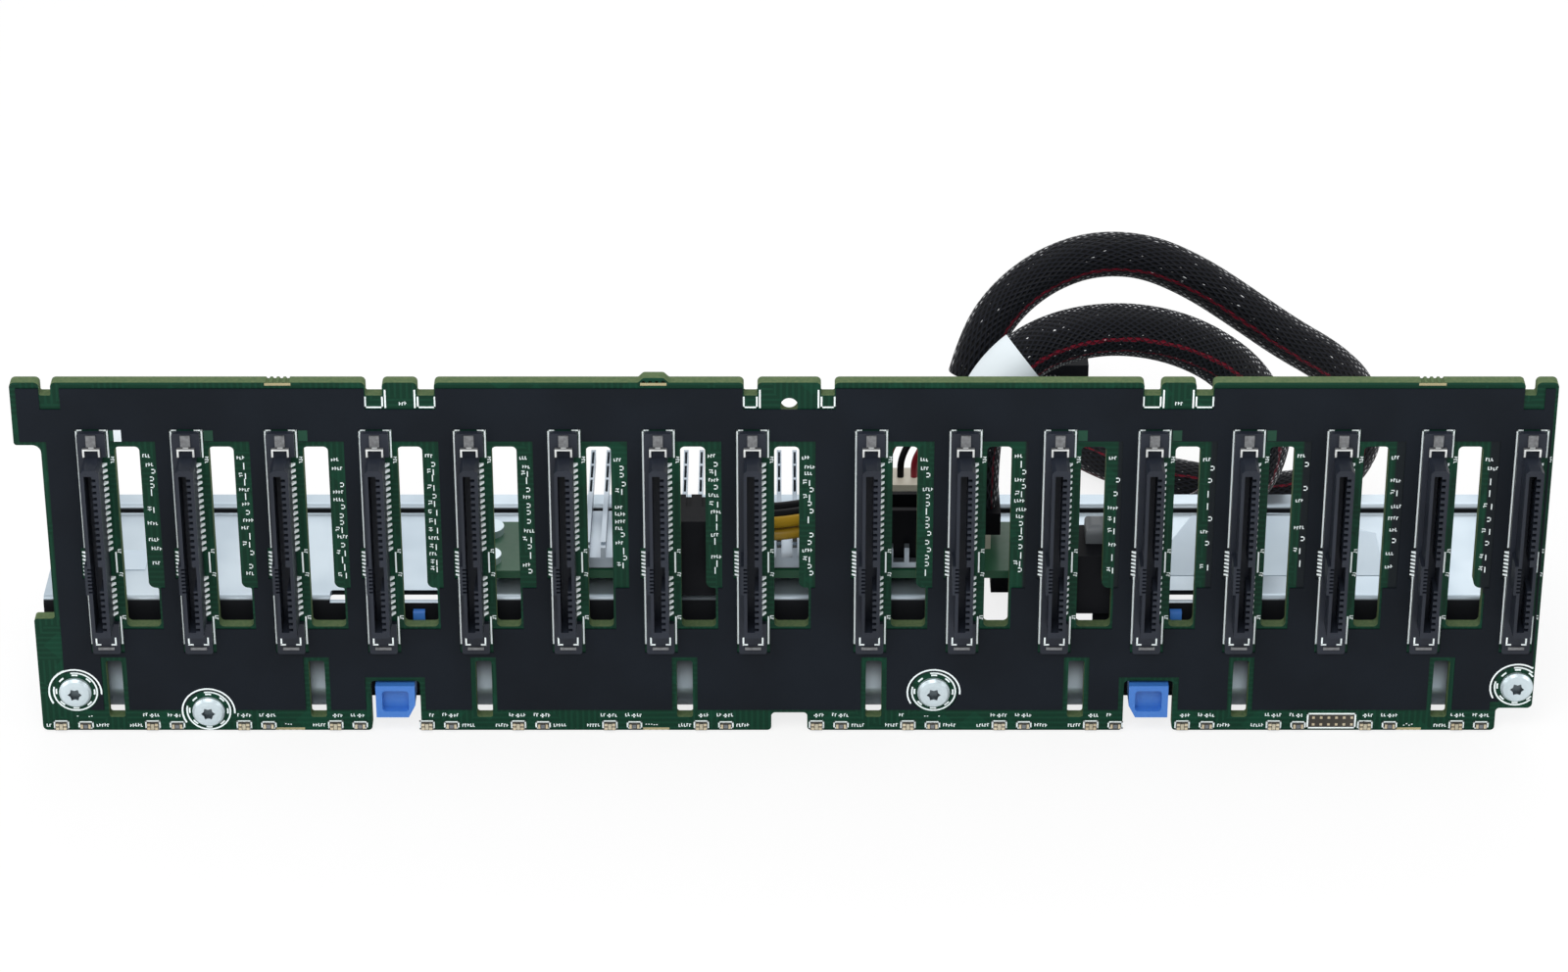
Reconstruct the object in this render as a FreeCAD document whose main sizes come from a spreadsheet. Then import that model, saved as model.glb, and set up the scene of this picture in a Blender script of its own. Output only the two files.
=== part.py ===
import FreeCAD, Part
import math
import os

from FreeCAD import Placement, Rotation, Vector

# Drive backplane board: sixteen drive sockets on an upright circuit board, with a formed steel
# carrier behind it that holds an expander card, its heatsink, its wiring and two release tabs.
# X runs along the board, -Y is the side that the drives plug into, +Z is up.
# The origin is under the middle of the assembly, on the surface that it stands on.

os.makedirs("parts", exist_ok=True)
doc = FreeCAD.newDocument("drive_backplane_board")

# ---------------------------------------------------------------- driving dimensions (mm)
SIZES = [
    # circuit board
    ("board_width", 282.5),
    ("board_height", 74.5),
    ("board_thickness", 2.4),
    ("corner_round", 1.2),
    ("lug_height", 13.0),
    ("lug_reach", 4.9),
    ("foot_height", 24.5),
    ("foot_reach", 1.0),
    ("right_step_width", 6.8),
    ("right_step_height", 4.9),
    ("key_notch_depth", 2.65),
    ("key_centre", 0.95),
    ("key_pitch_in_bays", 4.1075),
    ("key_inner_gap", 6.4),
    ("key_outer_gap", 12.4),
    ("end_notch_inset", 5.75),
    ("end_notch_width", 2.1),
    ("guide_hole_diameter", 3.2),
    ("guide_hole_drop", 4.8),
    ("stub_centre", -23.8),
    ("stub_width", 5.6),
    ("stub_height", 0.95),
    # bays
    ("bay_margin_left", 14.35),
    ("bay_margin_right", 4.15),
    ("middle_gap", 21.8),
    ("vent_offset", 4.0),
    ("vent_width", 4.6),
    ("vent_bottom", 22.8),
    ("vent_top", 61.2),
    ("vent_step_width", 1.8),
    ("vent_step_top", 31.2),
    ("vent_round", 0.9),
    ("peep_width", 3.0),
    ("peep_bottom", 2.9),
    ("peep_top", 15.3),
    # insulating film
    ("film_thickness", 0.25),
    ("film_margin", 1.1),
    ("film_bottom", 4.6),
    ("film_drop", 1.2),
    ("film_window_drop", 5.5),
    # drive socket
    ("socket_depth", 6.4),
    ("socket_bottom", 17.5),
    ("socket_top", 64.5),
    ("flange_thickness", 1.2),
    ("flange_half_width", 2.6),
    ("shroud_bottom", 24.0),
    ("shroud_top", 59.6),
    ("shroud_left", 1.6),
    ("shroud_right", 1.75),
    ("tongue_left", 1.0),
    ("tongue_right", 0.4),
    ("tongue_bottom", 25.2),
    ("tongue_top", 58.4),
    ("tongue_depth", 5.2),
    ("key_bottom", 33.8),
    ("key_top", 39.3),
    ("contact_pitch", 1.27),
    ("contact_width", 0.5),
    ("first_power_contact", 57.55),
    ("first_signal_contact", 33.45),
    ("fine_pitch", 0.8),
    ("first_fine_contact", 38.9),
    ("lead_reach", 2.5),
    ("lead_height", 0.95),
    # lights
    ("light_height", 1.1),
    # screws and bosses
    ("screw_head_diameter", 6.1),
    ("screw_head_height", 1.3),
    ("screw_shank_diameter", 2.9),
    ("screw_length", 6.2),
    ("boss_length", 2.0),
    ("boss_diameter", 5.6),
    # steel carrier
    ("steel", 1.0),
    ("tray_inset_left", 2.25),
    ("tray_inset_right", 0.85),
    ("shelf_height", 26.4),
    ("shelf_rear", 36.6),
    ("joggle_rise", 1.5),
    ("tray_rear", 41.4),
    ("foot_rear", 33.0),
    ("foot_round", 5.6),
    ("bend_round", 0.6),
    # release tabs
    ("tab_left_shift", 1.75),
    ("tab_right_shift", 0.8),
    ("tab_notch_half_width", 4.65),
    ("tab_notch_height", 10.9),
    ("tab_half_width", 3.7),
    ("tab_bottom", 3.4),
    ("tab_stroke", 2.0),
    # expander card
    ("card_left", -60.0),
    ("card_right", 50.5),
    ("card_front", 8.4),
    ("card_rear", 27.0),
    ("card_base", 28.4),
    ("card_thickness", 1.6),
    ("heatsink_left", -37.4),
    ("heatsink_right", 13.9),
    ("heatsink_top", 35.0),
    ("heatsink_rear", 46.4),
    ("fin_pitch", 3.0),
    ("fin_thickness", 0.9),
    # cables
    ("sleeve_a_diameter", 8.6),
    ("sleeve_b_diameter", 10.0),
    ("wire_diameter", 2.2),
    ("wire_spacing", 2.3),
    ("signal_wire_diameter", 1.3),
    ("label_thickness", 0.35),
    ("cable_plug_width", 15.6),
    ("cable_plug_length", 11.0),
    ("cable_plug_height", 10.8),
]

sheet = doc.addObject("Spreadsheet::Sheet", "sizes")
for row, (alias, value) in enumerate(SIZES, start=1):
    sheet.set("A%d" % row, alias)
    sheet.set("B%d" % row, repr(value))
    sheet.setAlias("B%d" % row, alias)
doc.recompute()


def size(alias):
    """The value of one driving dimension, read from the sheet."""
    return float(sheet.get(alias))


W2 = size("board_width") / 2
THICK = size("board_thickness")
# The board's front face sits this far behind the origin, so that the origin is under the middle.
BOARD_Y = (size("socket_depth") - size("heatsink_rear")) / 2
HOME = Placement(Vector(0, BOARD_Y, 0), Rotation())
NODES = []
# seven pitches in each half of the board, with a wider gap in the middle
BAY_PITCH = (size("board_width") - size("bay_margin_left") - size("bay_margin_right") - size("middle_gap")) / 14
BAYS = [size("bay_margin_left") - W2 + BAY_PITCH * n for n in range(8)]
BAYS += [W2 - size("bay_margin_right") - BAY_PITCH * n for n in range(7, -1, -1)]
STEPPED_VENTS = (0, 1, 2, 3, 6, 7, 8, 10, 14)
# viewing slots: the bay that each one belongs to, and how far it sits to the right of that socket
PEEP_SLOTS = [BAYS[bay] + shift for bay, shift in (
    (0, 0.9), (2, 4.4), (4, 1.2), (6, 4.4), (8, 0.9), (10, 4.4), (12, 0.8), (14, 3.9))]
SCREWS = ((7.65 - W2, 8.5), (BAYS[1] + 0.9, 4.3), (BAYS[9] - 5.1, 8.5), (W2 - 3.25, 9.7))
TAB_LEFT = BAYS[3] + size("tab_left_shift")
TAB_RIGHT = BAYS[11] + size("tab_right_shift")
TRAY_LEFT = size("tray_inset_left") - W2
TRAY_RIGHT = W2 - size("tray_inset_right")
# where the board was snapped out of its panel, along its top edge and its bottom edge
BREAKS_ABOVE = (BAYS[2], size("stub_centre"), BAYS[14] - 1.6)
BREAKS_BELOW = (BAYS[2] - 1.2, size("stub_centre") - 0.4, BAYS[14] - 1.6)


def node(obj, label, placement=HOME):
    """Names a finished sub-part and puts it in its place."""
    obj.Label = label
    obj.Placement = placement
    NODES.append(obj)
    return obj


def shape_node(label, shape, placement=HOME):
    """A sub-part whose form is worked out in code."""
    obj = doc.addObject("Part::Feature", label)
    obj.Shape = shape
    return node(obj, label, placement)


def block(x0, x1, y0, y1, z0, z1):
    """A box between two corners."""
    return Part.makeBox(x1 - x0, y1 - y0, z1 - z0, Vector(x0, y0, z0))


def rod(start, direction, length, radius):
    return Part.makeCylinder(radius, length, Vector(*start), Vector(*direction))


def group(solids):
    """Separate solids kept together in one node."""
    return Part.makeCompound(solids)


def joined(solids):
    """One solid out of pieces that share faces or overlap."""
    first = solids[0]
    result = first.fuse(solids[1:]) if len(solids) > 1 else first
    return result.removeSplitter()


# ---------------------------------------------------------------- sketch helpers
def rounded_loop(points):
    """Edges of a closed outline. A point is (a, b) or (a, b, radius) for a rounded corner."""
    count = len(points)
    corners = []
    for index, point in enumerate(points):
        here = Vector(point[0], point[1], 0)
        radius = point[2] if len(point) > 2 else 0.0
        if radius <= 0:
            corners.append((here, here, None))
            continue
        before = Vector(points[index - 1][0], points[index - 1][1], 0) - here
        after = Vector(points[(index + 1) % count][0], points[(index + 1) % count][1], 0) - here
        before.normalize()
        after.normalize()
        half = before.getAngle(after) / 2
        reach = radius / math.tan(half)
        inward = before + after
        inward.normalize()
        middle = here + inward * (radius / math.sin(half) - radius)
        corners.append((here + before * reach, here + after * reach, middle))
    edges = []
    for index, (start, end, middle) in enumerate(corners):
        if middle is not None:
            edges.append(Part.Arc(start, middle, end))
        following = corners[(index + 1) % count][0]
        if end.distanceToPoint(following) > 1e-6:
            edges.append(Part.LineSegment(end, following))
    return edges


def origin_plane(body, role):
    return next(item for item in body.Origin.OriginFeatures if item.Role == role)


def add_sketch(body, name, role, loops, offset=0.0):
    """A sketch on one of the body's origin planes, moved out along its normal by offset."""
    sketch = body.newObject("Sketcher::SketchObject", name)
    sketch.AttachmentSupport = [(origin_plane(body, role), "")]
    sketch.MapMode = "FlatFace"
    sketch.AttachmentOffset = Placement(Vector(0, 0, offset), Rotation())
    for loop in loops:
        sketch.addGeometry(rounded_loop(loop), False)
    return sketch


def add_pad(body, name, sketch, length, reverse=False):
    """A pad whose length is an expression on the sheet, or a plain number."""
    pad = body.newObject("PartDesign::Pad", name)
    pad.Profile = sketch
    pad.Reversed = reverse
    if isinstance(length, str):
        pad.setExpression("Length", length)
    else:
        pad.Length = length
    doc.recompute()
    return pad


def add_pocket(body, name, sketch, length, reverse=False):
    """A pocket that is checked to take material away."""
    before = body.Shape.Volume
    pocket = body.newObject("PartDesign::Pocket", name)
    pocket.Profile = sketch
    pocket.Reversed = reverse
    if length == "through":
        pocket.Type = 1
        pocket.Midplane = True
    elif isinstance(length, str):
        pocket.setExpression("Length", length)
    else:
        pocket.Length = length
    doc.recompute()
    if body.Shape.Volume > before - 1e-3:
        raise RuntimeError("%s cuts nothing" % name)
    return pocket


def rectangle(a0, a1, b0, b1, radius=0.0):
    return [(a0, b0, radius), (a1, b0, radius), (a1, b1, radius), (a0, b1, radius)]


# ---------------------------------------------------------------- circuit board
def key_notches():
    """X ranges of the locating notches in the board's top edge."""
    middle = size("key_centre")
    spans = []
    for step in (-1, 0, 1):
        centre = middle + step * size("key_pitch_in_bays") * BAY_PITCH
        inner = size("key_inner_gap") / 2
        outer = size("key_outer_gap") / 2 + 0.1
        if step == 0:
            inner += 2.6
            outer += 2.0
        spans.append((centre - outer, centre - inner))
        spans.append((centre + inner, centre + outer))
    for side in (-1, 1):
        centre = middle + side * (W2 - size("end_notch_inset")) - 0.25
        half = size("end_notch_width") / 2
        spans.append((centre - half, centre + half))
    return sorted(spans)


def board_outline():
    """The board's edge, counterclockwise from the lower left corner."""
    top = size("board_height")
    round_ = size("corner_round")
    left = -W2 + size("foot_reach")
    neck = -W2 + size("lug_reach")
    notch = size("tab_notch_half_width")
    high = size("tab_notch_height")
    middle_notch = (-2.4, 4.4, 3.9)
    step_x = W2 - size("right_step_width")
    points = [(left, 0, 1.0)]
    cuts = [
        (TAB_LEFT - notch, TAB_LEFT + notch, high),
        middle_notch,
        (TAB_RIGHT - notch, TAB_RIGHT + notch, high),
    ]
    for x0, x1, depth in cuts:
        points += [(x0, 0, 0.8), (x0, depth, 0.8), (x1, depth, 0.8), (x1, 0, 0.8)]
    points += [(step_x, 0, 0.8), (step_x, size("right_step_height"), 0.8)]
    points += [(W2, size("right_step_height"), 1.0), (W2, top, 1.0)]
    low = top - size("key_notch_depth")
    stub = size("stub_centre")
    wide, tall = size("stub_width") / 2, size("stub_height")
    spans = key_notches()
    for x0, x1 in reversed(spans):
        points += [(x1, top, 0.9), (x1, low, 0.3), (x0, low, 0.3), (x0, top, 0.9)]
        if x0 == spans[3][0]:
            # what is left of the tab that held the board in its panel
            points += [(stub + wide, top, 0.3), (stub + wide - tall, top + tall, 0.8),
                       (stub - wide + tall, top + tall, 0.8), (stub - wide, top, 0.3)]
    points += [(-W2, top, 1.0), (-W2, top - size("lug_height"), 0.6)]
    points += [(neck, top - size("lug_height"), 1.6), (neck, size("foot_height"), 0.6)]
    points += [(left, size("foot_height"), 0.6)]
    return points


def vent_outline(bay, x):
    """An air slot beside a socket; some widen at the foot, round an inner corner."""
    left = x + size("vent_offset")
    right = left + size("vent_width")
    low = size("vent_bottom")
    top = size("vent_top")
    small = size("vent_round")
    if bay not in STEPPED_VENTS:
        return rectangle(left, right, low, top, small)
    wide = right + size("vent_step_width")
    step = size("vent_step_top")
    return [(left, low, small), (wide, low, small), (wide, step, 0.4),
            (right, step, 1.3), (right, top, small), (left, top, small)]


def circle_loop(sketch, x, z, diameter):
    sketch.addGeometry(Part.Circle(Vector(x, z, 0), Vector(0, 0, 1), diameter / 2), False)


def make_board():
    """The board itself, with its vents, viewing slots, screw holes and guide hole."""
    body = doc.addObject("PartDesign::Body", "backplane_pcb")
    outline = add_sketch(body, "board_outline", "XZ_Plane", [board_outline()])
    add_pad(body, "board_plate", outline, "sizes.board_thickness", reverse=True)
    vents = [vent_outline(bay, x) for bay, x in enumerate(BAYS[:15])]
    half = size("peep_width") / 2
    peeps = [rectangle(x - half, x + half, size("peep_bottom"), size("peep_top"), 0.5)
             for x in PEEP_SLOTS]
    cuts = add_sketch(body, "vents_and_slots", "XZ_Plane", vents + peeps)
    circle_loop(cuts, size("key_centre"), size("board_height") - size("guide_hole_drop"),
                size("guide_hole_diameter"))
    for x, z in SCREWS:
        circle_loop(cuts, x, z, size("screw_shank_diameter") + 0.5)
    # rows of half holes where the board was snapped out of its panel
    for edge, centres in ((size("board_height"), BREAKS_ABOVE), (0, BREAKS_BELOW)):
        for centre in centres:
            for step in range(4):
                circle_loop(cuts, centre - 1.8 + 1.2 * step, edge, 0.7)
    add_pocket(body, "vent_cut", cuts, "through")
    return node(body, "backplane_pcb")


# ---------------------------------------------------------------- insulating film
def make_film():
    """The thin black film over the board's front, open round sockets, vents and screws."""
    margin = size("film_margin")
    neck = -W2 + size("lug_reach") + margin
    lug = size("board_height") - size("lug_height") + 0.8
    low = size("film_bottom")
    top = size("board_height") - size("film_drop")
    window = size("board_height") - size("film_window_drop")
    outline = [(neck - 0.2, low), (W2 - size("right_step_width") - 1.2, low),
               (W2 - size("right_step_width") - 1.2, 6.4), (W2 - 0.6, 6.4), (W2 - 0.6, top),
               (-W2 + margin, top), (-W2 + margin, lug), (neck, lug)]
    edges = [edge.toShape() for edge in rounded_loop(outline)]
    face = Part.Face(Part.Wire(edges))
    face.rotate(Vector(0, 0, 0), Vector(1, 0, 0), 90)
    film = face.extrude(Vector(0, -size("film_thickness"), 0))
    near, far = -size("film_thickness") - 1, 1
    cuts = []
    fine_high = size("first_fine_contact") + 1.0
    fine_low = size("first_fine_contact") - 6 * size("fine_pitch") - 0.9
    for bay, x in enumerate(BAYS):
        cuts.append(block(x - 3.0, x + 3.2, near, far, size("socket_bottom") - 0.3,
                          size("socket_top") + 0.4))
        cuts.append(block(x - 3.6, x - 2.9, near, far, fine_low, fine_high))
        if bay < 15:
            right = x + size("vent_offset") + size("vent_width")
            foot = size("vent_bottom") - 0.5
            wide = right + (size("vent_step_width") + 0.4 if bay in STEPPED_VENTS else 0.4)
            cuts.append(block(x + 3.1, wide, near, far, foot, size("vent_step_top")))
            cuts.append(block(x + 3.1, right + 3.0, near, far, size("vent_step_top"),
                              size("vent_top") + 1.2))
    for x in PEEP_SLOTS:
        cuts.append(block(x - 2.4, x + 2.4, near, far, low - 1, size("peep_top") + 0.9))
    for x, z in SCREWS:
        cuts.append(rod((x, near, z), (0, 1, 0), 3, 4.5))
    spans = key_notches()
    for x0, x1 in ((spans[1][0], spans[2][1]), (spans[3][0], spans[4][1]), (spans[5][0], spans[6][1])):
        cuts.append(block(x0 - 0.2, x1 + 0.2, near, far, window, top + 1))
    for x0, x1 in (spans[0], spans[7]):
        cuts.append(block(x0 - 0.1, x1 + 1.6, near, far, window, top + 1))
    for centre in (TAB_LEFT, TAB_RIGHT):
        half = size("tab_notch_half_width") + 1.0
        cuts.append(block(centre - half, centre + half, near, far, low - 1,
                          size("tab_notch_height") + 0.9))
    return shape_node("insulator_film", film.cut(cuts).removeSplitter())


# ---------------------------------------------------------------- drive sockets
def contact_heights(first, pitch, count):
    return [first - pitch * n for n in range(count)]


def make_socket_master():
    """One upright drive socket about X = 0: flange, shroud, keyed tongue slot, contact notches."""
    body = doc.addObject("PartDesign::Body", "socket_master")
    half = size("flange_half_width")
    low, high = size("socket_bottom"), size("socket_top")
    left, right = -size("shroud_left"), size("shroud_right")
    flange = [(-half, low, 0.5), (half, low, 0.5), (half, size("shroud_bottom")),
              (right, size("shroud_bottom")), (right, size("shroud_top")),
              (half, size("shroud_top")), (half, high, 0.5), (-half, high, 0.5)]
    sketch = add_sketch(body, "flange_outline", "XZ_Plane", [flange])
    add_pad(body, "flange", sketch, "sizes.flange_thickness")
    bump_low, bump_high = size("key_bottom") - 0.5, size("key_top") + 0.1
    shroud = [(left, size("shroud_bottom"), 0.3), (right, size("shroud_bottom"), 0.3),
              (right, size("shroud_top") - 0.6), (right - 0.6, size("shroud_top")),
              (left + 0.6, size("shroud_top")), (left, size("shroud_top") - 0.6),
              (left, bump_high), (left - 0.6, bump_high), (left - 0.6, bump_low), (left, bump_low)]
    sketch = add_sketch(body, "shroud_outline", "XZ_Plane", [shroud])
    add_pad(body, "shroud", sketch, "sizes.socket_depth")
    # tongue slot: one channel with the key and the contact notches opening off its right side
    slot_left, slot_right = -size("tongue_left"), size("tongue_right")
    notch = 0.75
    points = [(slot_left, size("tongue_bottom")), (slot_right, size("tongue_bottom"))]
    signal = contact_heights(size("first_signal_contact"), size("contact_pitch"), 7)
    power = contact_heights(size("first_power_contact"), size("contact_pitch"), 14)
    wide = size("contact_width") / 2 + 0.05
    for z in reversed(signal):
        points += [(slot_right, z - wide), (slot_right + notch, z - wide)]
        points += [(slot_right + notch, z + wide), (slot_right, z + wide)]
    # the last signal notch and the first power notch run into the key
    points += [(slot_right, size("key_bottom") + 0.35), (slot_right + notch, size("key_bottom") + 0.35)]
    points += [(slot_right + notch, size("key_top")), (slot_right, size("key_top"))]
    for z in reversed(power):
        if z - wide < size("key_top") + 0.2:
            continue
        points += [(slot_right, z - wide), (slot_right + notch, z - wide)]
        points += [(slot_right + notch, z + wide), (slot_right, z + wide)]
    points += [(slot_right, size("tongue_top")), (slot_left, size("tongue_top"))]
    sketch = add_sketch(body, "tongue_slot", "XZ_Plane", [points], offset=size("socket_depth"))
    add_pocket(body, "tongue_cut", sketch, "sizes.tongue_depth")
    fine = contact_heights(size("first_fine_contact") - 0.2, size("fine_pitch"), 7)
    loops = [rectangle(slot_left - 0.7, slot_left + 0.05, z - 0.2, z + 0.2) for z in fine]
    sketch = add_sketch(body, "fine_notches", "XZ_Plane", loops, offset=size("socket_depth"))
    add_pocket(body, "fine_notch_cut", sketch, 2.0)
    return body


def make_sockets():
    master = make_socket_master()
    for bay, x in enumerate(BAYS, start=1):
        label = "drive_socket_%02d" % bay
        place = Placement(Vector(x, BOARD_Y, 0), Rotation())
        shape_node(label, master.Shape.copy(), place)
    return master


def wedge_lead(x, z, width, reach, height, side):
    """A contact's tail: flat on the board, rising towards the housing."""
    inner = x + (size("shroud_right") if side > 0 else -size("flange_half_width"))
    outer = x + side * reach
    points = [Vector(inner, 0, z - width / 2), Vector(outer, 0, z - width / 2),
              Vector(inner, -height, z - width / 2)]
    face = Part.Face(Part.makePolygon(points + [points[0]]))
    return face.extrude(Vector(0, 0, width))


def make_contacts():
    """Soldered tails of the sockets' contacts, one group for each kind."""
    width = size("contact_width")
    pitch = size("contact_pitch")
    power, signal, fine = [], [], []
    for x in BAYS:
        for z in contact_heights(size("first_power_contact"), pitch, 15):
            power.append(wedge_lead(x, z, width, size("lead_reach"), size("lead_height"), 1))
        for z in contact_heights(size("first_signal_contact"), pitch, 7):
            signal.append(wedge_lead(x, z, width, size("lead_reach"), size("lead_height"), 1))
        for z in contact_heights(size("first_fine_contact"), size("fine_pitch"), 7):
            fine.append(wedge_lead(x, z, 0.35, 3.4, 0.5, -1))
    shape_node("power_contacts", group(power))
    shape_node("signal_contacts", group(signal))
    shape_node("second_port_contacts", group(fine))


def make_lock_tabs():
    """Solder tab and hoop clip at the head of every socket, and the clip at its foot."""
    pieces = []
    base = size("flange_thickness")
    head, foot = size("socket_top"), size("socket_bottom")
    bar = head - 2.85
    for x in BAYS:
        tab = block(x - 0.9, x + 0.9, -base - 0.35, -base, head - 2.6, head - 0.3)
        hoop = [block(x - 1.6, x + 1.6, -base - 0.75, -base, bar - 0.35, bar)]
        for side in (-1, 1):
            x0 = x + side * 1.6
            hoop.append(block(min(x0, x0 - side * 0.35), max(x0, x0 - side * 0.35),
                              -base - 0.75, -base, bar - 1.65, bar))
        pieces.append(joined([tab, block(x - 0.5, x + 0.5, -base - 0.3, -base, bar - 0.15, bar + 0.35)] + hoop))
        pieces.append(block(x - 1.5, x + 1.5, -base - 0.4, -base, foot + 1.1, foot + 1.6))
    shape_node("socket_lock_tabs", group(pieces))


def make_lights():
    """Two indicator lights under each bay."""
    status, activity = [], []
    z = size("light_height")
    for x in BAYS:
        status.append(block(x - 9.85 - 1.1, x - 9.85 + 1.1, -0.7, 0, z - 0.75, z + 0.75))
        activity.append(block(x - 5.2 - 1.0, x - 5.2 + 1.0, -0.6, 0, z - 0.55, z + 0.55))
    shape_node("status_lights", group(status))
    shape_node("activity_lights", group(activity))


# ---------------------------------------------------------------- screws and bosses
def make_screw(x, z):
    """Pan head screw with a six-lobed recess, its axis along Y, its head on the board."""
    head = size("screw_head_diameter") / 2
    tall = size("screw_head_height")
    shank = size("screw_shank_diameter") / 2
    profile = [Vector(0, 0, 0), Vector(head, 0, 0), Vector(head, -tall * 0.45, 0),
               Vector(head * 0.86, -tall * 0.85, 0), Vector(head * 0.6, -tall, 0),
               Vector(0, -tall, 0)]
    face = Part.Face(Part.makePolygon(profile + [profile[0]]))
    screw = face.revolve(Vector(0, 0, 0), Vector(0, 1, 0), 360)
    screw = screw.fuse(rod((0, 0, 0), (0, 1, 0), size("screw_length"), shank))
    lobes = []
    for index in range(12):
        radius = 1.35 if index % 2 == 0 else 0.95
        angle = math.radians(30 * index)
        lobes.append(Vector(radius * math.cos(angle), -tall - 0.1, radius * math.sin(angle)))
    recess = Part.Face(Part.makePolygon(lobes + [lobes[0]])).extrude(Vector(0, tall * 0.8, 0))
    screw = screw.cut(recess).removeSplitter()
    screw.translate(Vector(x, 0, z))
    return screw


def make_screws_and_bosses():
    shape_node("board_screws", group([make_screw(x, z) for x, z in SCREWS]))
    outer = size("boss_diameter") / 2
    inner = size("screw_shank_diameter") / 2 + 0.05
    bosses = []
    for x, z in SCREWS:
        boss = rod((x, THICK, z), (0, 1, 0), size("boss_length"), outer)
        boss = boss.fuse(rod((x, THICK, z), (0, 1, 0), size("boss_length") + size("steel"), outer - 0.8))
        bosses.append(boss.cut(rod((x, THICK - 1, z), (0, 1, 0), 6, inner)).removeSplitter())
    shape_node("screw_bosses", group(bosses))


# ---------------------------------------------------------------- steel carrier
def sheet_loop(path, thick):
    """Closed section of a bent sheet. path holds (a, b, inner radius) along its left hand face."""
    count = len(path)
    other = []
    for index in range(count):
        here = Vector(path[index][0], path[index][1], 0)
        normals = []
        for a, b in ((index - 1, index), (index, index + 1)):
            if a < 0 or b >= count:
                continue
            run = Vector(path[b][0] - path[a][0], path[b][1] - path[a][1], 0)
            run.normalize()
            normals.append(Vector(run.y, -run.x, 0))
        if len(normals) == 1:
            shift = normals[0] * thick
        else:
            total = normals[0] + normals[1]
            shift = total * (thick / (1 + normals[0].dot(normals[1])))
        other.append(here + shift)
    front, back = [], []
    for index in range(count):
        radius = path[index][2]
        turn = 0.0
        if 0 < index < count - 1:
            first = Vector(path[index][0] - path[index - 1][0], path[index][1] - path[index - 1][1], 0)
            second = Vector(path[index + 1][0] - path[index][0], path[index + 1][1] - path[index][1], 0)
            turn = first.cross(second).z
        outer_radius = radius + thick if radius > 0 else 0.0
        front.append((path[index][0], path[index][1], radius if turn > 0 else outer_radius))
        back.append((other[index].x, other[index].y, outer_radius if turn > 0 else radius))
    return front + list(reversed(back))


def make_tray():
    """The formed steel carrier: foot, front wall, shelf and a joggled rear edge."""
    wall = THICK + size("boss_length")
    shelf = size("shelf_height")
    bend = size("bend_round")
    path = [(size("foot_rear"), 0, 0), (wall, 0, size("foot_round")), (wall, shelf, bend),
            (size("shelf_rear"), shelf, bend), (size("shelf_rear"), shelf + size("joggle_rise"), bend),
            (size("tray_rear"), shelf + size("joggle_rise"), 0)]
    body = doc.addObject("PartDesign::Body", "carrier_tray")
    section = add_sketch(body, "tray_section", "YZ_Plane", [sheet_loop(path, size("steel"))],
                         offset=TRAY_LEFT)
    add_pad(body, "tray_sheet", section, "sizes.board_width - sizes.tray_inset_left - sizes.tray_inset_right")
    # openings in the shelf, seen from above
    deep = wall + 2.9
    loops = []
    for centre in (TAB_LEFT, TAB_RIGHT):
        loops.append(rectangle(centre - 12.0, centre + 10.6, wall - 1, deep, 0.6))
    sketch = add_sketch(body, "latch_windows", "XY_Plane", loops, offset=shelf - 1.1)
    add_pocket(body, "latch_window_cut", sketch, 5.0, reverse=True)
    sketch = add_sketch(body, "connector_window", "XY_Plane",
                        [rectangle(33.6, 58.0, wall - 1, 31.0, 1.2)], offset=14.0)
    add_pocket(body, "connector_window_cut", sketch, 20.0, reverse=True)
    # openings in the front wall, seen from the front
    loops = []
    for centre in (TAB_LEFT, TAB_RIGHT):
        loops.append(rectangle(centre - 6.9, centre + 6.9, -1.0, 14.6, 0.6))
    end = TRAY_RIGHT
    loops.append([(end - 7.6, -1.0), (end + 1, -1.0), (end + 1, 5.6), (end - 7.6, 5.6, 1.5)])
    sketch = add_sketch(body, "wall_openings", "XZ_Plane", loops)
    add_pocket(body, "wall_opening_cut", sketch, 12.5)
    sketch = add_sketch(body, "boss_holes", "XZ_Plane", [])
    for x, z in SCREWS:
        circle_loop(sketch, x, z, size("boss_diameter") - 1.6)
    add_pocket(body, "boss_hole_cut", sketch, wall + 4.0)
    return node(body, "carrier_tray")


# ---------------------------------------------------------------- release tabs
def make_tab(label, centre, slant_side):
    """Blue release tab: a dished thumb pad through the board's notch, with two prongs behind."""
    half = size("tab_half_width")
    low = size("tab_bottom")
    near = THICK + 0.3
    far = THICK + size("boss_length") - 0.3
    pad_top = size("tab_notch_height") - 0.6
    slant = [(slant_side * half, low + 2.6), (slant_side * (half - 1.3), low), (-slant_side * half, low),
             (-slant_side * half, pad_top), (slant_side * half, pad_top)]
    corners = [Vector(x, -1.0, z) for x, z in slant]
    pad = Part.Face(Part.makePolygon(corners + [corners[0]])).extrude(Vector(0, far + 1.0, 0))
    dish = Part.makeBox(5.0, 1.7, 4.5, Vector(-2.5, -1.1, low + 1.3))
    dish = dish.makeFillet(0.7, [edge for edge in dish.Edges if abs(edge.tangentAt(0).y) > 0.9])
    yoke = block(-5.9, 5.9, near, far, pad_top - 0.6, pad_top + 3.4)
    prongs = []
    for side in (-1, 1):
        x0, x1 = sorted((side * 3.7, side * 5.9))
        prongs.append(block(x0, x1, near, far, pad_top + 3.0, 24.2))
    tab = joined([pad.cut(dish), yoke] + prongs)
    shape_node(label, tab, Placement(Vector(centre, BOARD_Y, 0), Rotation()))


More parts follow.
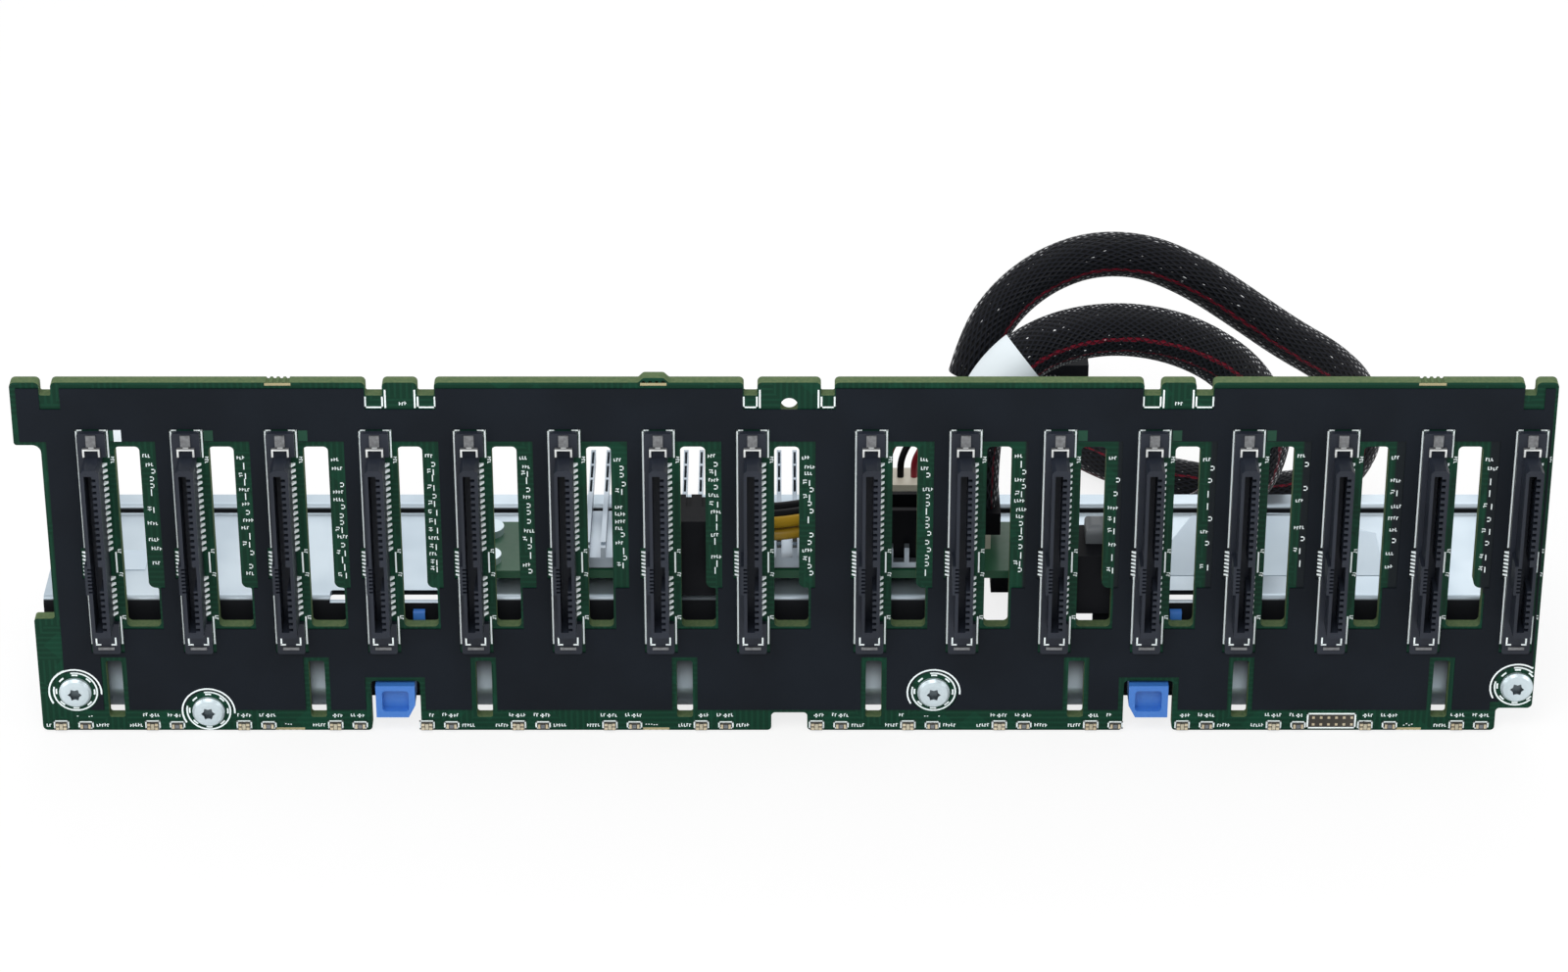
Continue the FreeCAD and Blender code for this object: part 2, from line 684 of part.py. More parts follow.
# ---------------------------------------------------------------- expander card
def make_card():
    """The card on the shelf, its stand-offs and screws, chip, heatsink and connectors."""
    base, thick = size("card_base"), size("card_thickness")
    top = base + thick
    front, rear = size("card_front"), size("card_rear")
    left, right = size("card_left"), size("card_right")
    body = doc.addObject("PartDesign::Body", "expander_card")
    outline = [(left, front, 1.0), (right, front, 1.0), (right, rear, 1.0), (31.0, rear, 0.6),
               (31.0, rear + 12.0, 1.0), (14.4, rear + 12.0, 1.0), (14.4, rear, 0.6), (left, rear, 1.0)]
    sketch = add_sketch(body, "card_outline", "XY_Plane", [outline], offset=base)
    add_pad(body, "card_plate", sketch, "sizes.card_thickness")
    posts = [(left + 4.0, front + 4.0), (left + 4.0, rear - 4.0), (-41.5, rear - 4.0), (22.8, rear - 3.4)]
    holes = add_sketch(body, "card_holes", "XY_Plane", [], offset=top)
    for x, y in posts:
        holes.addGeometry(Part.Circle(Vector(x, y, 0), Vector(0, 0, 1), 1.6), False)
    add_pocket(body, "card_hole_cut", holes, thick + 1)
    node(body, "expander_card")
    shelf = size("shelf_height")
    stand, screws = [], []
    for x, y in posts:
        post = rod((x, y, shelf), (0, 0, 1), base - shelf, 2.6)
        stand.append(post.cut(rod((x, y, shelf + 0.4), (0, 0, 1), 5, 1.3)))
        screw = rod((x, y, top), (0, 0, 1), 1.4, 2.7)
        screws.append(screw.fuse(rod((x, y, shelf + 0.6), (0, 0, 1), top - shelf - 0.6, 1.25)))
    shape_node("card_standoffs", group(stand))
    shape_node("card_screws", group(screws))
    chip = block(-24.0, 3.0, front + 2.6, rear - 0.8, top, top + 1.2)
    shape_node("expander_chip", chip)
    make_heatsink(top, top + 1.2)


def make_heatsink(card_top, base):
    """Aluminium heatsink: base, fins along Y, slotted tails behind and a low comb in front."""
    left, right = size("heatsink_left"), size("heatsink_right")
    front = size("card_front") + 0.6
    comb_back = front + 1.7
    top = size("heatsink_top")
    plate = base + 1.3
    pieces = [block(left, right, comb_back - 0.4, size("card_rear") - 0.2, base, plate)]
    pieces.append(block(left, 28.4, front, comb_back, card_top + 0.3, card_top + 1.5))
    pieces.append(block(left, right, front, comb_back, card_top + 0.3, plate))
    pitch, thin = size("fin_pitch"), size("fin_thickness")
    count = int((28.4 - left - thin) / pitch) + 1
    windows = []
    for index in range(count):
        x = left + pitch * index
        pieces.append(block(x, x + thin, front, comb_back, card_top + 0.3, top - 0.4))
        if x + thin > right:
            continue
        pieces.append(block(x, x + thin, comb_back - 0.2, size("heatsink_rear"), plate - 0.3, top))
        for cell in range(3):
            start = size("heatsink_rear") - 0.8 - 5.5 * (cell + 1) + 0.8
            windows.append(block(x + 0.22, x + thin - 0.22, start, start + 4.7, plate - 1, top + 1))
    sink = joined(pieces).cut(windows)
    shape_node("heatsink", sink)


# ---------------------------------------------------------------- connectors and wires
def cord_path(points, label):
    """The centre line of a cord: straight runs joined by tangent arcs, with its radii printed."""
    route = [Vector(*point) for point in points]
    edges = []
    start = route[0]
    length = 0.0
    radii = []
    for index in range(1, len(route) - 1):
        here = route[index]
        back = route[index - 1] - here
        ahead = route[index + 1] - here
        reach = 0.45 * min(back.Length, ahead.Length)
        back.normalize()
        ahead.normalize()
        turn = math.pi - back.getAngle(ahead)
        bend = reach / math.tan(turn / 2)
        radii.append(round(bend, 1))
        inward = back + ahead
        inward.normalize()
        arc_start = here + back * reach
        arc_end = here + ahead * reach
        middle = here + inward * (bend / math.cos(turn / 2) - bend)
        edges.append(Part.LineSegment(start, arc_start).toShape())
        edges.append(Part.Arc(arc_start, middle, arc_end).toShape())
        length += start.distanceToPoint(arc_start) + bend * turn
        start = arc_end
    edges.append(Part.LineSegment(start, route[-1]).toShape())
    length += start.distanceToPoint(route[-1])
    print("%s: length %.1f mm, radii %s" % (label, length, radii))
    return edges


def swept(edges, radius):
    """A round tube along a line of edges."""
    first = edges[0]
    along = first.tangentAt(first.FirstParameter)
    ring = Part.Wire(Part.makeCircle(radius, first.valueAt(first.FirstParameter), along))
    pipe = Part.Wire(edges).makePipeShell([ring], True, True)
    length = sum(edge.Length for edge in edges)
    if abs(pipe.Volume / (math.pi * radius * radius * length) - 1) > 0.002:
        raise RuntimeError("a swept tube doesn't have its section all along")
    return pipe


def tube(points, radius, label):
    return swept(cord_path(points, label), radius)


def make_power_wiring():
    """Power socket on the board's rear, wires over the heatsink and the card's power socket."""
    top = size("card_base") + size("card_thickness")
    rear = size("card_front") - 0.3
    right = -11.8
    socket = block(-22.5, right, THICK, rear, size("shelf_height") + 1.8, 44.0)
    shape_node("power_socket", socket.cut(block(-21.5, right - 1.0, THICK + 1.0, rear + 1, 31.0, 34.4)))
    over_fins = size("heatsink_top") + 0.6
    face = -9.4
    plug = block(-21.4, face, rear, 16.0, over_fins, 42.2)
    ribs = [block(-21.4 + 3.0 * n, -20.4 + 3.0 * n, rear + 1.2, 16.5, 41.6, 43) for n in range(4)]
    shape_node("power_plug", plug.cut(ribs))
    inlet = 17.0
    receiver = block(inlet, 29.6, 11.2, 18.6, top, 41.4)
    shape_node("card_power_socket", receiver.cut(block(inlet + 1.2, 28.4, 12.4, 17.4, 38.4, 42)))
    radius = size("wire_diameter") / 2
    spacing = size("wire_spacing")
    lowest = over_fins + radius + 0.1
    rows = (("yellow_power_wires", lowest), ("black_power_wires", lowest + spacing + 0.3))
    sway, lift = 2.5, 0.3
    for label, height in rows:
        wires = []
        for index in range(3):
            y = 9.9 + spacing * index
            z = height + 0.25 * index
            route = [(face, y, z), (-1.5, y, z), (8.5, y + sway, z + lift), (inlet, y + sway, z + lift)]
            wires.append(tube(route, radius, "%s %d" % (label, index + 1)))
        shape_node(label, group(wires))


def make_signal_wiring():
    """White header behind the card and its loose wires, which gather in the upper cable's sleeve."""
    top = size("card_base") + size("card_thickness")
    height = top + 6.6
    first, pitch = 17.1, 2.6
    header = block(first - 1.7, first + 3 * pitch + 2.5, 29.6, 36.4, top, height)
    cavities = [block(first - 0.7 + pitch * n, first + 0.7 + pitch * n, 28.6, 30.4, top + 2.0, top + 5.0)
                for n in range(4)]
    shape_node("signal_header", header.cut(cavities))
    radius = size("signal_wire_diameter") / 2
    mouth = Vector(*SLEEVE_A[0])
    along = Vector(*SLEEVE_A[1]) - mouth
    along.normalize()
    rearward = Vector(0, 1, 0) - along * along.y
    rearward.normalize()
    upward = along.cross(rearward)
    upward = upward * (1 if upward.z > 0 else -1)
    wires = []
    for index in range(4):
        # the four wires lie two by two where they enter the sleeve
        x = first + pitch * index
        back = 0.75 if index % 2 == 0 else -0.75
        rise = 0.75 if index < 2 else -0.75
        end = mouth + rearward * back + upward * rise
        before = end - along * 6.0
        gather = mouth - along * 6.0 + Vector(-5.0, -2.2 + back, -1.6 + rise)
        route = [(x, 33.0, height), (x, 33.0, height + 3.4),
                 (x + 1.4, 33.9 + back, height + 7.0 + rise), tuple(gather), tuple(before), tuple(end)]
        wires.append(tube(route, radius, "signal wire %d" % (index + 1)))
    shape_node("black_signal_wires", group(wires[0::2]))
    shape_node("red_signal_wires", group(wires[1::2]))


# Centre lines of the two braided cables, from their upper ends to their plugs.
SLEEVE_A = [
    (35.6, 41.0, 54.1), (37.2, 43.2, 62.3), (41.5, 45.4, 69.4), (48.3, 47.6, 74.9),
    (57.3, 49.8, 78.0), (67.9, 52.0, 77.8), (78.5, 54.6, 74.1), (88.7, 57.6, 67.7),
    (98.2, 61.0, 59.8), (106.6, 65.0, 51.1), (112.6, 69.6, 41.5), (115.0, 74.6, 31.3),
    (113.6, 79.8, 21.5), (108.6, 84.8, 12.9), (100.7, 89.4, 6.8), (90.6, 91.6, 4.4),
    (80.8, 92.8, 4.3), (71.4, 95.6, 4.3), (63.4, 101.2, 4.3), (58.2, 109.0, 4.3),
    (56.4, 118.2, 4.3), (56.4, 127.4, 4.3),
]
SLEEVE_B = [
    (35.6, 22.0, 37.6), (35.6, 22.0, 47.2), (36.7, 23.2, 55.0), (40.3, 24.6, 62.1),
    (46.0, 26.4, 67.6), (53.6, 28.6, 71.1), (62.4, 31.0, 72.0), (71.4, 33.6, 70.1),
    (80.0, 36.6, 65.4), (87.4, 40.0, 58.0), (92.5, 43.8, 48.3), (94.3, 47.6, 37.3),
    (91.9, 51.4, 26.4), (85.6, 55.0, 17.1), (76.2, 57.8, 9.6), (64.6, 59.2, 5.1),
    (52.0, 59.2, 5.1),
]


def make_cable_plug(label, end, angle):
    """A plug lying on the ground where a cable ends; its cable enters the middle of its near face."""
    wide, long_, tall = size("cable_plug_width"), size("cable_plug_length"), size("cable_plug_height")
    half = wide / 2
    body = block(-half, half, 0, long_, 0, tall)
    body = body.cut(block(-half + 1.4, half - 1.4, long_ - 4.0, long_ + 1, 1.6, tall - 2.0))
    latch = block(-2.4, 2.4, 3.0, long_ - 0.6, tall, tall + 0.9)
    place = Placement(Vector(end[0], BOARD_Y + end[1], 0), Rotation(Vector(0, 0, 1), angle))
    shape_node(label, joined([body, latch]), place)


def make_cables():
    """The two braided cables that loop over behind the board, with the plugs at their ends."""
    ra = size("sleeve_a_diameter") / 2
    rb = size("sleeve_b_diameter") / 2
    shape_node("sleeved_cable_upper", tube(SLEEVE_A, ra, "upper cable"))
    lower = cord_path(SLEEVE_B, "lower cable")
    shape_node("sleeved_cable_lower", swept(lower, rb))
    wrapped = lower[5:8]
    wrap = swept(wrapped, rb + size("label_thickness")).cut(swept(wrapped, rb))
    shape_node("cable_label", wrap)
    make_cable_plug("upper_cable_plug", SLEEVE_A[-1], 0)
    make_cable_plug("lower_cable_plug", SLEEVE_B[-1], 90)


def make_rear_connectors():
    """Cable socket on the card's right end with its plug, and the link between card and board."""
    top = size("card_base") + size("card_thickness")
    shell_top = top + 3.0
    x, y, face = SLEEVE_B[0]
    shape_node("card_cable_socket", block(x - 3.5, x + 3.5, y - 5.4, y + 5.4, top, shell_top))
    shape_node("card_cable_plug", block(x - 5.3, x + 5.3, y - 5.3, y + 5.3, shell_top, face))
    left = size("card_right") + 0.4
    link_top = 36.6
    box = block(left, left + 12.5, THICK, 14.2, size("shelf_height") - 2.2, link_top)
    ledge = size("shelf_height") + 0.5
    shape_node("card_link_connector", box.cut(block(57.6, 70, 3.0, 20, 20, ledge)))
    latch = block(56.4, 60.4, 7.0, 12.6, link_top, link_top + 3.4)
    upper = [edge for edge in latch.Edges if edge.CenterOfMass.z > link_top + 3.0]
    shape_node("link_latch", latch.makeFillet(1.4, upper))


make_board()
make_film()
make_sockets()
make_contacts()
make_lock_tabs()
make_lights()
make_screws_and_bosses()
make_tray()
make_tab("release_tab_left", TAB_LEFT, 1)
make_tab("release_tab_right", TAB_RIGHT, -1)
make_card()
make_power_wiring()
make_signal_wiring()
make_cables()
make_rear_connectors()

# ---------------------------------------------------------------- checks and files
doc.recompute()
for obj in doc.Objects:
    if "Invalid" in obj.State or "Error" in obj.State:
        raise RuntimeError("%s is not valid: %s" % (obj.Label, obj.State))
for obj in NODES:
    shape = obj.Shape
    if shape.isNull() or not shape.isValid():
        raise RuntimeError("%s has no valid shape" % obj.Label)
    shape.exportStep("parts/%s.step" % obj.Label)
    box = shape.BoundBox
    print("%-22s solids %3d volume %9.1f box %s" % (
        obj.Label, len(shape.Solids), shape.Volume,
        [round(v, 1) for v in (box.XMin, box.XMax, box.YMin, box.YMax, box.ZMin, box.ZMax)]))
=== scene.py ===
import math
import random

import bpy
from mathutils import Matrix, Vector


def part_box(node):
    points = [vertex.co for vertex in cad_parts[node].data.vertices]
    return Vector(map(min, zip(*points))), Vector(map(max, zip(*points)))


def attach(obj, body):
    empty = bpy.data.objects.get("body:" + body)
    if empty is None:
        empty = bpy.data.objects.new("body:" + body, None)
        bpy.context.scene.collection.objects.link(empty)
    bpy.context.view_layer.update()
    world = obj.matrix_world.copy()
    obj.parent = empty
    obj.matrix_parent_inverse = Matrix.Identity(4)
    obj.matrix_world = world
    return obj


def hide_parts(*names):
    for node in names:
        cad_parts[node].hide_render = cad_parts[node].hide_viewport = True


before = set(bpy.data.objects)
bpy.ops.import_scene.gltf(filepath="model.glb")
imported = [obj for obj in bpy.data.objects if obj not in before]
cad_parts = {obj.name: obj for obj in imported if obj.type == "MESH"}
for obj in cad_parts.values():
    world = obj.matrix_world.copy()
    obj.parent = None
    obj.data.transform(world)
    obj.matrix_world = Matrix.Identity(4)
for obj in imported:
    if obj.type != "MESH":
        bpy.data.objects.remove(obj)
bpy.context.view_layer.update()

bl_info = {
    "name": "Drive Backplane Board",
    "version": (1, 0, 0),
    "blender": (4, 5, 0),
    "location": "3D View > Sidebar > Backplane",
    "description": "Dresses a drive backplane board: finishes, printed marks, pads, cables and studio",
    "category": "Object",
}

MM = 0.001
ROOT = "backplane"

# ------------------------------------------------------------------ places taken from the frame
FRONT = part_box("backplane_pcb")[0].y    # the board's front face
FILM_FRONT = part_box("insulator_film")[0].y
SOCKETS = ["drive_socket_%02d" % number for number in range(1, 17)]
BAY_X = [sum(corner.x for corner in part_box(name)) / 2 / MM for name in SOCKETS]
TABS = ["release_tab_left", "release_tab_right"]
TAB_X = [sum(corner.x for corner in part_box(name)) / 2 / MM for name in TABS]
SOCKET_LOW, SOCKET_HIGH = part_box(SOCKETS[0])
FLANGE_FACE = FRONT - 1.2 * MM          # the front of the sockets' flanges
STATUS_FACE = FRONT - 0.7 * MM          # the front of the larger lights
ACTIVITY_FACE = FRONT - 0.6 * MM        # the front of the smaller lights
SHELF_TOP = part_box("expander_card")[1].z - 3.6 * MM     # the card's top face is 3.6 mm over the shelf

# Places on the board, in mm.
VENT_RIGHT = 8.6                        # from a socket's middle to the right edge of its vent
WINDOW_BAYS = (0, 1, 2, 10, 11, 12)     # sockets with a green window in the film beside their heads
SCREW_PLACES = ((-133.6, 8.5), (-108.7, 4.3), (28.2, 8.5), (138.0, 9.7))
# Each ring's arcs, in degrees, and which of its eight dashes are there; the last screw's stop at the edge.
WHOLE_RING = {"inner": ((-195, 100),), "outer": ((-5, 210),), "dashes": range(8)}
EDGE_RING = {"inner": ((-195, -46), (46, 100)), "outer": ((55, 210),), "dashes": range(1, 8)}
INNER_RADIUS, OUTER_RADIUS, DASH_RADIUS, DASH_WIDTH = 4.1, 4.95, 3.62, 0.32
RECESS_RADIUS = 1.37                    # of the screws' six-lobed recesses
# Middles of the viewing slots along the foot, the notches in the top edge, and where the board was broken
# from its panel.
PEEP_PLACES = (-126.0, -87.9, -56.5, -18.7, 16.9, 55.0, 86.0, 123.7)
KEY_NOTCHES = ((-76.5, -73.3), (-66.9, -63.7), (-7.4, -4.9), (6.8, 9.3), (65.6, 68.8), (75.2, 78.4))
BREAKS_ABOVE = ((-94.7, -89.9), (-26.2, -21.4), (115.7, 120.7))
BREAKS_BELOW = ((-96.3, -90.7), (-26.7, -21.7), (115.8, 120.6))

# Centre lines of the two sleeved cables, in mm from the board's front face. Ends as in the part's source,
# the arches over the board a little lower, and the upper one's bend behind it lower and nearer the board.
SLEEVE_A = [
    (35.6, 41.0, 54.1), (37.8, 43.0, 61.8), (43.0, 45.4, 68.8), (50.4, 47.6, 73.8),
    (59.2, 49.8, 76.0), (69.2, 52.0, 74.4), (79.2, 54.6, 68.4), (88.6, 57.6, 60.4),
    (97.8, 61.0, 52.0), (107.2, 65.0, 44.4), (113.2, 69.6, 36.2), (115.6, 72.8, 26.4),
    (114.4, 74.6, 17.4), (109.0, 77.2, 10.0), (100.7, 81.6, 5.4), (90.6, 86.0, 4.4),
    (80.8, 89.4, 4.3), (71.4, 94.2, 4.3), (63.4, 101.2, 4.3), (58.2, 109.0, 4.3),
    (56.4, 118.2, 4.3), (56.4, 127.4, 4.3),
]
SLEEVE_B = [
    (35.6, 22.0, 37.6), (35.6, 22.0, 47.2), (36.7, 23.2, 55.0), (40.3, 24.6, 62.1),
    (46.0, 26.4, 67.2), (53.6, 28.6, 69.6), (62.2, 31.0, 69.6), (71.0, 33.6, 67.2),
    (79.2, 36.6, 62.6), (86.4, 40.0, 55.8), (91.6, 43.8, 47.2), (93.8, 47.6, 37.0),
    (91.7, 51.4, 26.4), (85.6, 55.0, 17.1), (76.2, 57.8, 9.6), (64.6, 59.2, 5.1),
    (52.0, 59.2, 5.1),
]
LABEL_RUN = (20.5, 32.0)                # where the paper band begins and ends along the lower sleeve
PAPER = 0.1                             # thickness of a label on the shelf

BLACK, WORN_BLACK = (0.004, 0.0045, 0.006), (0.007, 0.0075, 0.0095)
YELLOW = (0.41, 0.245, 0.015)


# ------------------------------------------------------------------ settings
class BoardSettings(bpy.types.PropertyGroup):
    mask_green: bpy.props.FloatVectorProperty(
        name="Solder mask", description="Colour of the board's solder mask",
        subtype="COLOR", size=3, min=0, max=1, default=(0.0018, 0.038, 0.0195))
    film_black: bpy.props.FloatVectorProperty(
        name="Film", description="Colour of the insulating film",
        subtype="COLOR", size=3, min=0, max=1, default=(0.0054, 0.0078, 0.0118))
    print_line: bpy.props.FloatProperty(
        name="Print line", description="Width of the printed lines",
        default=0.3 * MM, min=0.05 * MM, max=1 * MM, unit="LENGTH")
    print_height: bpy.props.FloatProperty(
        name="Print height", description="How far print stands off the surface",
        default=0.03 * MM, min=0.01 * MM, max=0.2 * MM, unit="LENGTH")


class WiringSettings(bpy.types.PropertyGroup):
    upper_diameter: bpy.props.FloatProperty(
        name="Upper cable", description="Diameter of the upper cable's sleeve",
        default=8.6 * MM, min=1 * MM, max=12 * MM, unit="LENGTH")
    lower_diameter: bpy.props.FloatProperty(
        name="Lower cable", description="Diameter of the lower cable's sleeve",
        default=10.0 * MM, min=1 * MM, max=12 * MM, unit="LENGTH")


class StudioSettings(bpy.types.PropertyGroup):
    key_power: bpy.props.FloatProperty(
        name="Key light", description="Power of the large soft light over the drive side",
        default=8.0, min=0, max=100, unit="POWER")
    fill_power: bpy.props.FloatProperty(
        name="Fill light", description="Power of the soft lights at the sides",
        default=2.4, min=0, max=100, unit="POWER")
    sky_strength: bpy.props.FloatProperty(
        name="Sky", description="Strength of the even light from all round", default=0.55, min=0, max=2)


# ------------------------------------------------------------------ modelling helpers
def nothing_selected():
    if bpy.context.mode != "OBJECT":
        bpy.ops.object.mode_set(mode="OBJECT")
    bpy.ops.object.select_all(action="DESELECT")


def only(obj):
    nothing_selected()
    obj.select_set(True)
    bpy.context.view_layer.objects.active = obj


def settled(obj, name, finish, body=ROOT):
    """Puts the object's place into its mesh, names it, finishes it and lets it ride on its body."""
    only(obj)
    bpy.ops.object.transform_apply(location=True, rotation=True, scale=True)
    obj.name = name
    obj.data.name = name
    obj.data.materials.clear()
    obj.data.materials.append(material_of(finish))
    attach(obj, body)
    return obj


def empty_sheet(name):
    """A mesh object with nothing in it yet, open in edit mode; its origin is the scene's."""
    nothing_selected()
    bpy.ops.mesh.primitive_plane_add(size=1)
    obj = bpy.context.object
    obj.name = name
    bpy.ops.object.mode_set(mode="EDIT")
    bpy.ops.mesh.select_all(action="SELECT")
    bpy.ops.mesh.delete(type="VERT")
    return obj


def patch(x0, x1, y, z0, z1):
    """Adds an upright flat patch to the mesh that is open, in mm, and leaves only it selected."""
    middle = Vector(((x0 + x1) / 2, y, (z0 + z1) / 2)) * MM
    bpy.ops.mesh.primitive_plane_add(size=MM, location=middle, rotation=(math.pi / 2, 0, 0))
    bpy.ops.transform.resize(value=(x1 - x0, 1, z1 - z0), center_override=middle)


def raised(name, rectangles, finish, face, height):
    """Flat patches (x0, x1, z0, z1) in mm, on the plane Y = face in metres, thickened into one piece."""
    sheet = empty_sheet(name)
    for x0, x1, z0, z1 in rectangles:
        patch(x0, x1, face / MM, z0, z1)
    bpy.ops.mesh.select_all(action="SELECT")
    bpy.ops.mesh.extrude_region_move(TRANSFORM_OT_translate={"value": (0, -height * MM, 0)})
    bpy.ops.mesh.select_all(action="SELECT")
    bpy.ops.mesh.normals_make_consistent(inside=False)
    bpy.ops.object.mode_set(mode="OBJECT")
    return settled(sheet, name, finish)


def joined(pieces):
    """Puts the pieces' places into their meshes and joins them into the first."""
    nothing_selected()
    for piece in pieces:
        piece.select_set(True)
    bpy.context.view_layer.objects.active = pieces[0]
    bpy.ops.object.transform_apply(location=True, rotation=True, scale=True)
    bpy.ops.object.join()
    return pieces[0]


def at_every_socket(obj):
    """Copies what is modelled about X = 0 to every socket, each copy with its own mesh; one piece."""
    row = [obj]
    for _ in BAY_X[1:]:
        twin = obj.copy()
        twin.data = obj.data.copy()
        bpy.context.collection.objects.link(twin)
        row.append(twin)
    for item, x in zip(row, BAY_X):
        item.location.x = x * MM
    return joined(row)


def frame_strokes(x0, x1, z0, z1, line, sides="lrtb"):
    """The strokes of a printed box; sides picks some of them."""
    strokes = {"l": (x0, x0 + line, z0, z1), "r": (x1 - line, x1, z0, z1),
               "t": (x0, x1, z1 - line, z1), "b": (x0, x1, z0, z0 + line)}
    return [strokes[side] for side in sides]


def mark_bars(rng, x, z, count, upright=False):
    """Little bars that stand for a printed designation, as plain marks and not as letters."""
    strokes = []
    for index in range(count):
        step = index * 0.5
        tall, low, dash = rng.choice((0.7, 0.6)), rng.choice((0.0, 0.1)), rng.choice((0.0, 0.28, 0.5))
        for x0, x1, z0, z1 in ((0, 0.16, low, low + tall), (0.1, 0.36, low + dash, low + dash + 0.16)):
            if upright:
                strokes.append((x + z0, x + z1, z - step - x1, z - step - x0))
            else:
                strokes.append((x + step + x0, x + step + x1, z + z0, z + z1))
    return strokes


def swept_arc(x, z, radius, line, height, start, end):
    """A printed arc on the board about a point, in mm and degrees: a small section spun round it."""
    nothing_selected()
    bpy.ops.mesh.primitive_plane_add(size=MM)
    arc = bpy.context.object
    bpy.ops.object.mode_set(mode="EDIT")
    bpy.ops.mesh.select_all(action="SELECT")
    bpy.ops.transform.resize(value=(line, height, 1), center_override=(0, 0, 0))
    bpy.ops.transform.translate(value=(radius * MM, 0, 0))
    bpy.ops.mesh.spin(steps=max(3, int((end - start) / 10)), angle=math.radians(end - start),
                      center=(0, 0, 0), axis=(0, 1, 0))
    bpy.ops.mesh.select_all(action="SELECT")
    bpy.ops.mesh.remove_doubles(threshold=0.00001)
    bpy.ops.mesh.normals_make_consistent(inside=False)
    bpy.ops.object.mode_set(mode="OBJECT")
    arc.rotation_euler.y = -math.radians(start)
    arc.location = (x * MM, FRONT - height * MM / 2, z * MM)
    return arc


# ------------------------------------------------------------------ shader groups
def shader_group(name, inputs, outputs):
    """An empty node group with named sockets; returns the group, its input and its output node."""
    group = bpy.data.node_groups.new(name, "ShaderNodeTree")
    for label, kind, default in inputs:
        socket = group.interface.new_socket(label, in_out="INPUT", socket_type=kind)
        if default is not None:
            socket.default_value = default
    for label, kind in outputs:
        group.interface.new_socket(label, in_out="OUTPUT", socket_type=kind)
    entry = group.nodes.new("NodeGroupInput")
    leave = group.nodes.new("NodeGroupOutput")
    return group, entry, leave


def math_node(tree, operation, first, second=None, clamp=False):
    node = tree.nodes.new("ShaderNodeMath")
    node.operation = operation
    node.use_clamp = clamp
    for index, value in enumerate((first, second)):
        if value is None:
            continue
        if isinstance(value, (int, float)):
            node.inputs[index].default_value = value
        else:
            tree.links.new(value, node.inputs[index])
    return node.outputs[0]


def folded(tree, operation, values):
    """Some values made one by the same operation, such as their least or their product."""
    result = values[0]
    for value in values[1:]:
        result = math_node(tree, operation, result, value)
    return result


def axes(tree, vector):
    """A vector's X, Y and Z, by name."""
    node = tree.nodes.new("ShaderNodeSeparateXYZ")
    tree.links.new(vector, node.inputs[0])
    return node.outputs


def mapped(tree, value, low, high, to_low=0, to_high=1, steps="LINEAR"):
    """Takes the span from low to high to another one, and stays at its ends outside it."""
    node = tree.nodes.new("ShaderNodeMapRange")
    node.interpolation_type = steps
    for socket, number in (("From Min", low), ("From Max", high), ("To Min", to_low), ("To Max", to_high)):
        node.inputs[socket].default_value = number
    tree.links.new(value, node.inputs["Value"])
    return node.outputs["Result"]


def ramp_between(tree, value, low, high):
    """0 at low and 1 at high, with a smooth step between."""
    return mapped(tree, value, low, high, steps="SMOOTHSTEP")


def blended(tree, mask, first, second):
    """A colour between two, by a mask."""
    node = tree.nodes.new("ShaderNodeMix")
    node.data_type = "RGBA"
    for label, value in (("Factor", mask), ("A", first), ("B", second)):
        socket = node.inputs[label]
        if isinstance(value, (tuple, list)):
            socket.default_value = (*value[:3], 1)
        elif isinstance(value, (int, float)):
            socket.default_value = value
        else:
            tree.links.new(value, socket)
    return node.outputs["Result"]


def grain_group():
    """Fine mottling and scratches, as values about 0.5."""
    group, entry, leave = shader_group(
        "fine_grain",
        [("Vector", "NodeSocketVector", None), ("Scale", "NodeSocketFloat", 900.0),
         ("Stretch", "NodeSocketVector", (1.0, 1.0, 1.0))],
        [("Grain", "NodeSocketFloat"), ("Mottle", "NodeSocketFloat")])
    stretch = group.nodes.new("ShaderNodeVectorMath")
    stretch.operation = "MULTIPLY"
    group.links.new(entry.outputs["Vector"], stretch.inputs[0])
    group.links.new(entry.outputs["Stretch"], stretch.inputs[1])
    fine = group.nodes.new("ShaderNodeTexNoise")
    fine.inputs["Detail"].default_value = 3
    group.links.new(stretch.outputs[0], fine.inputs["Vector"])
    group.links.new(entry.outputs["Scale"], fine.inputs["Scale"])
    broad = group.nodes.new("ShaderNodeTexNoise")
    broad.inputs["Scale"].default_value = 60
    group.links.new(entry.outputs["Vector"], broad.inputs["Vector"])
    group.links.new(fine.outputs["Fac"], leave.inputs["Grain"])
    group.links.new(broad.outputs["Fac"], leave.inputs["Mottle"])
    return group


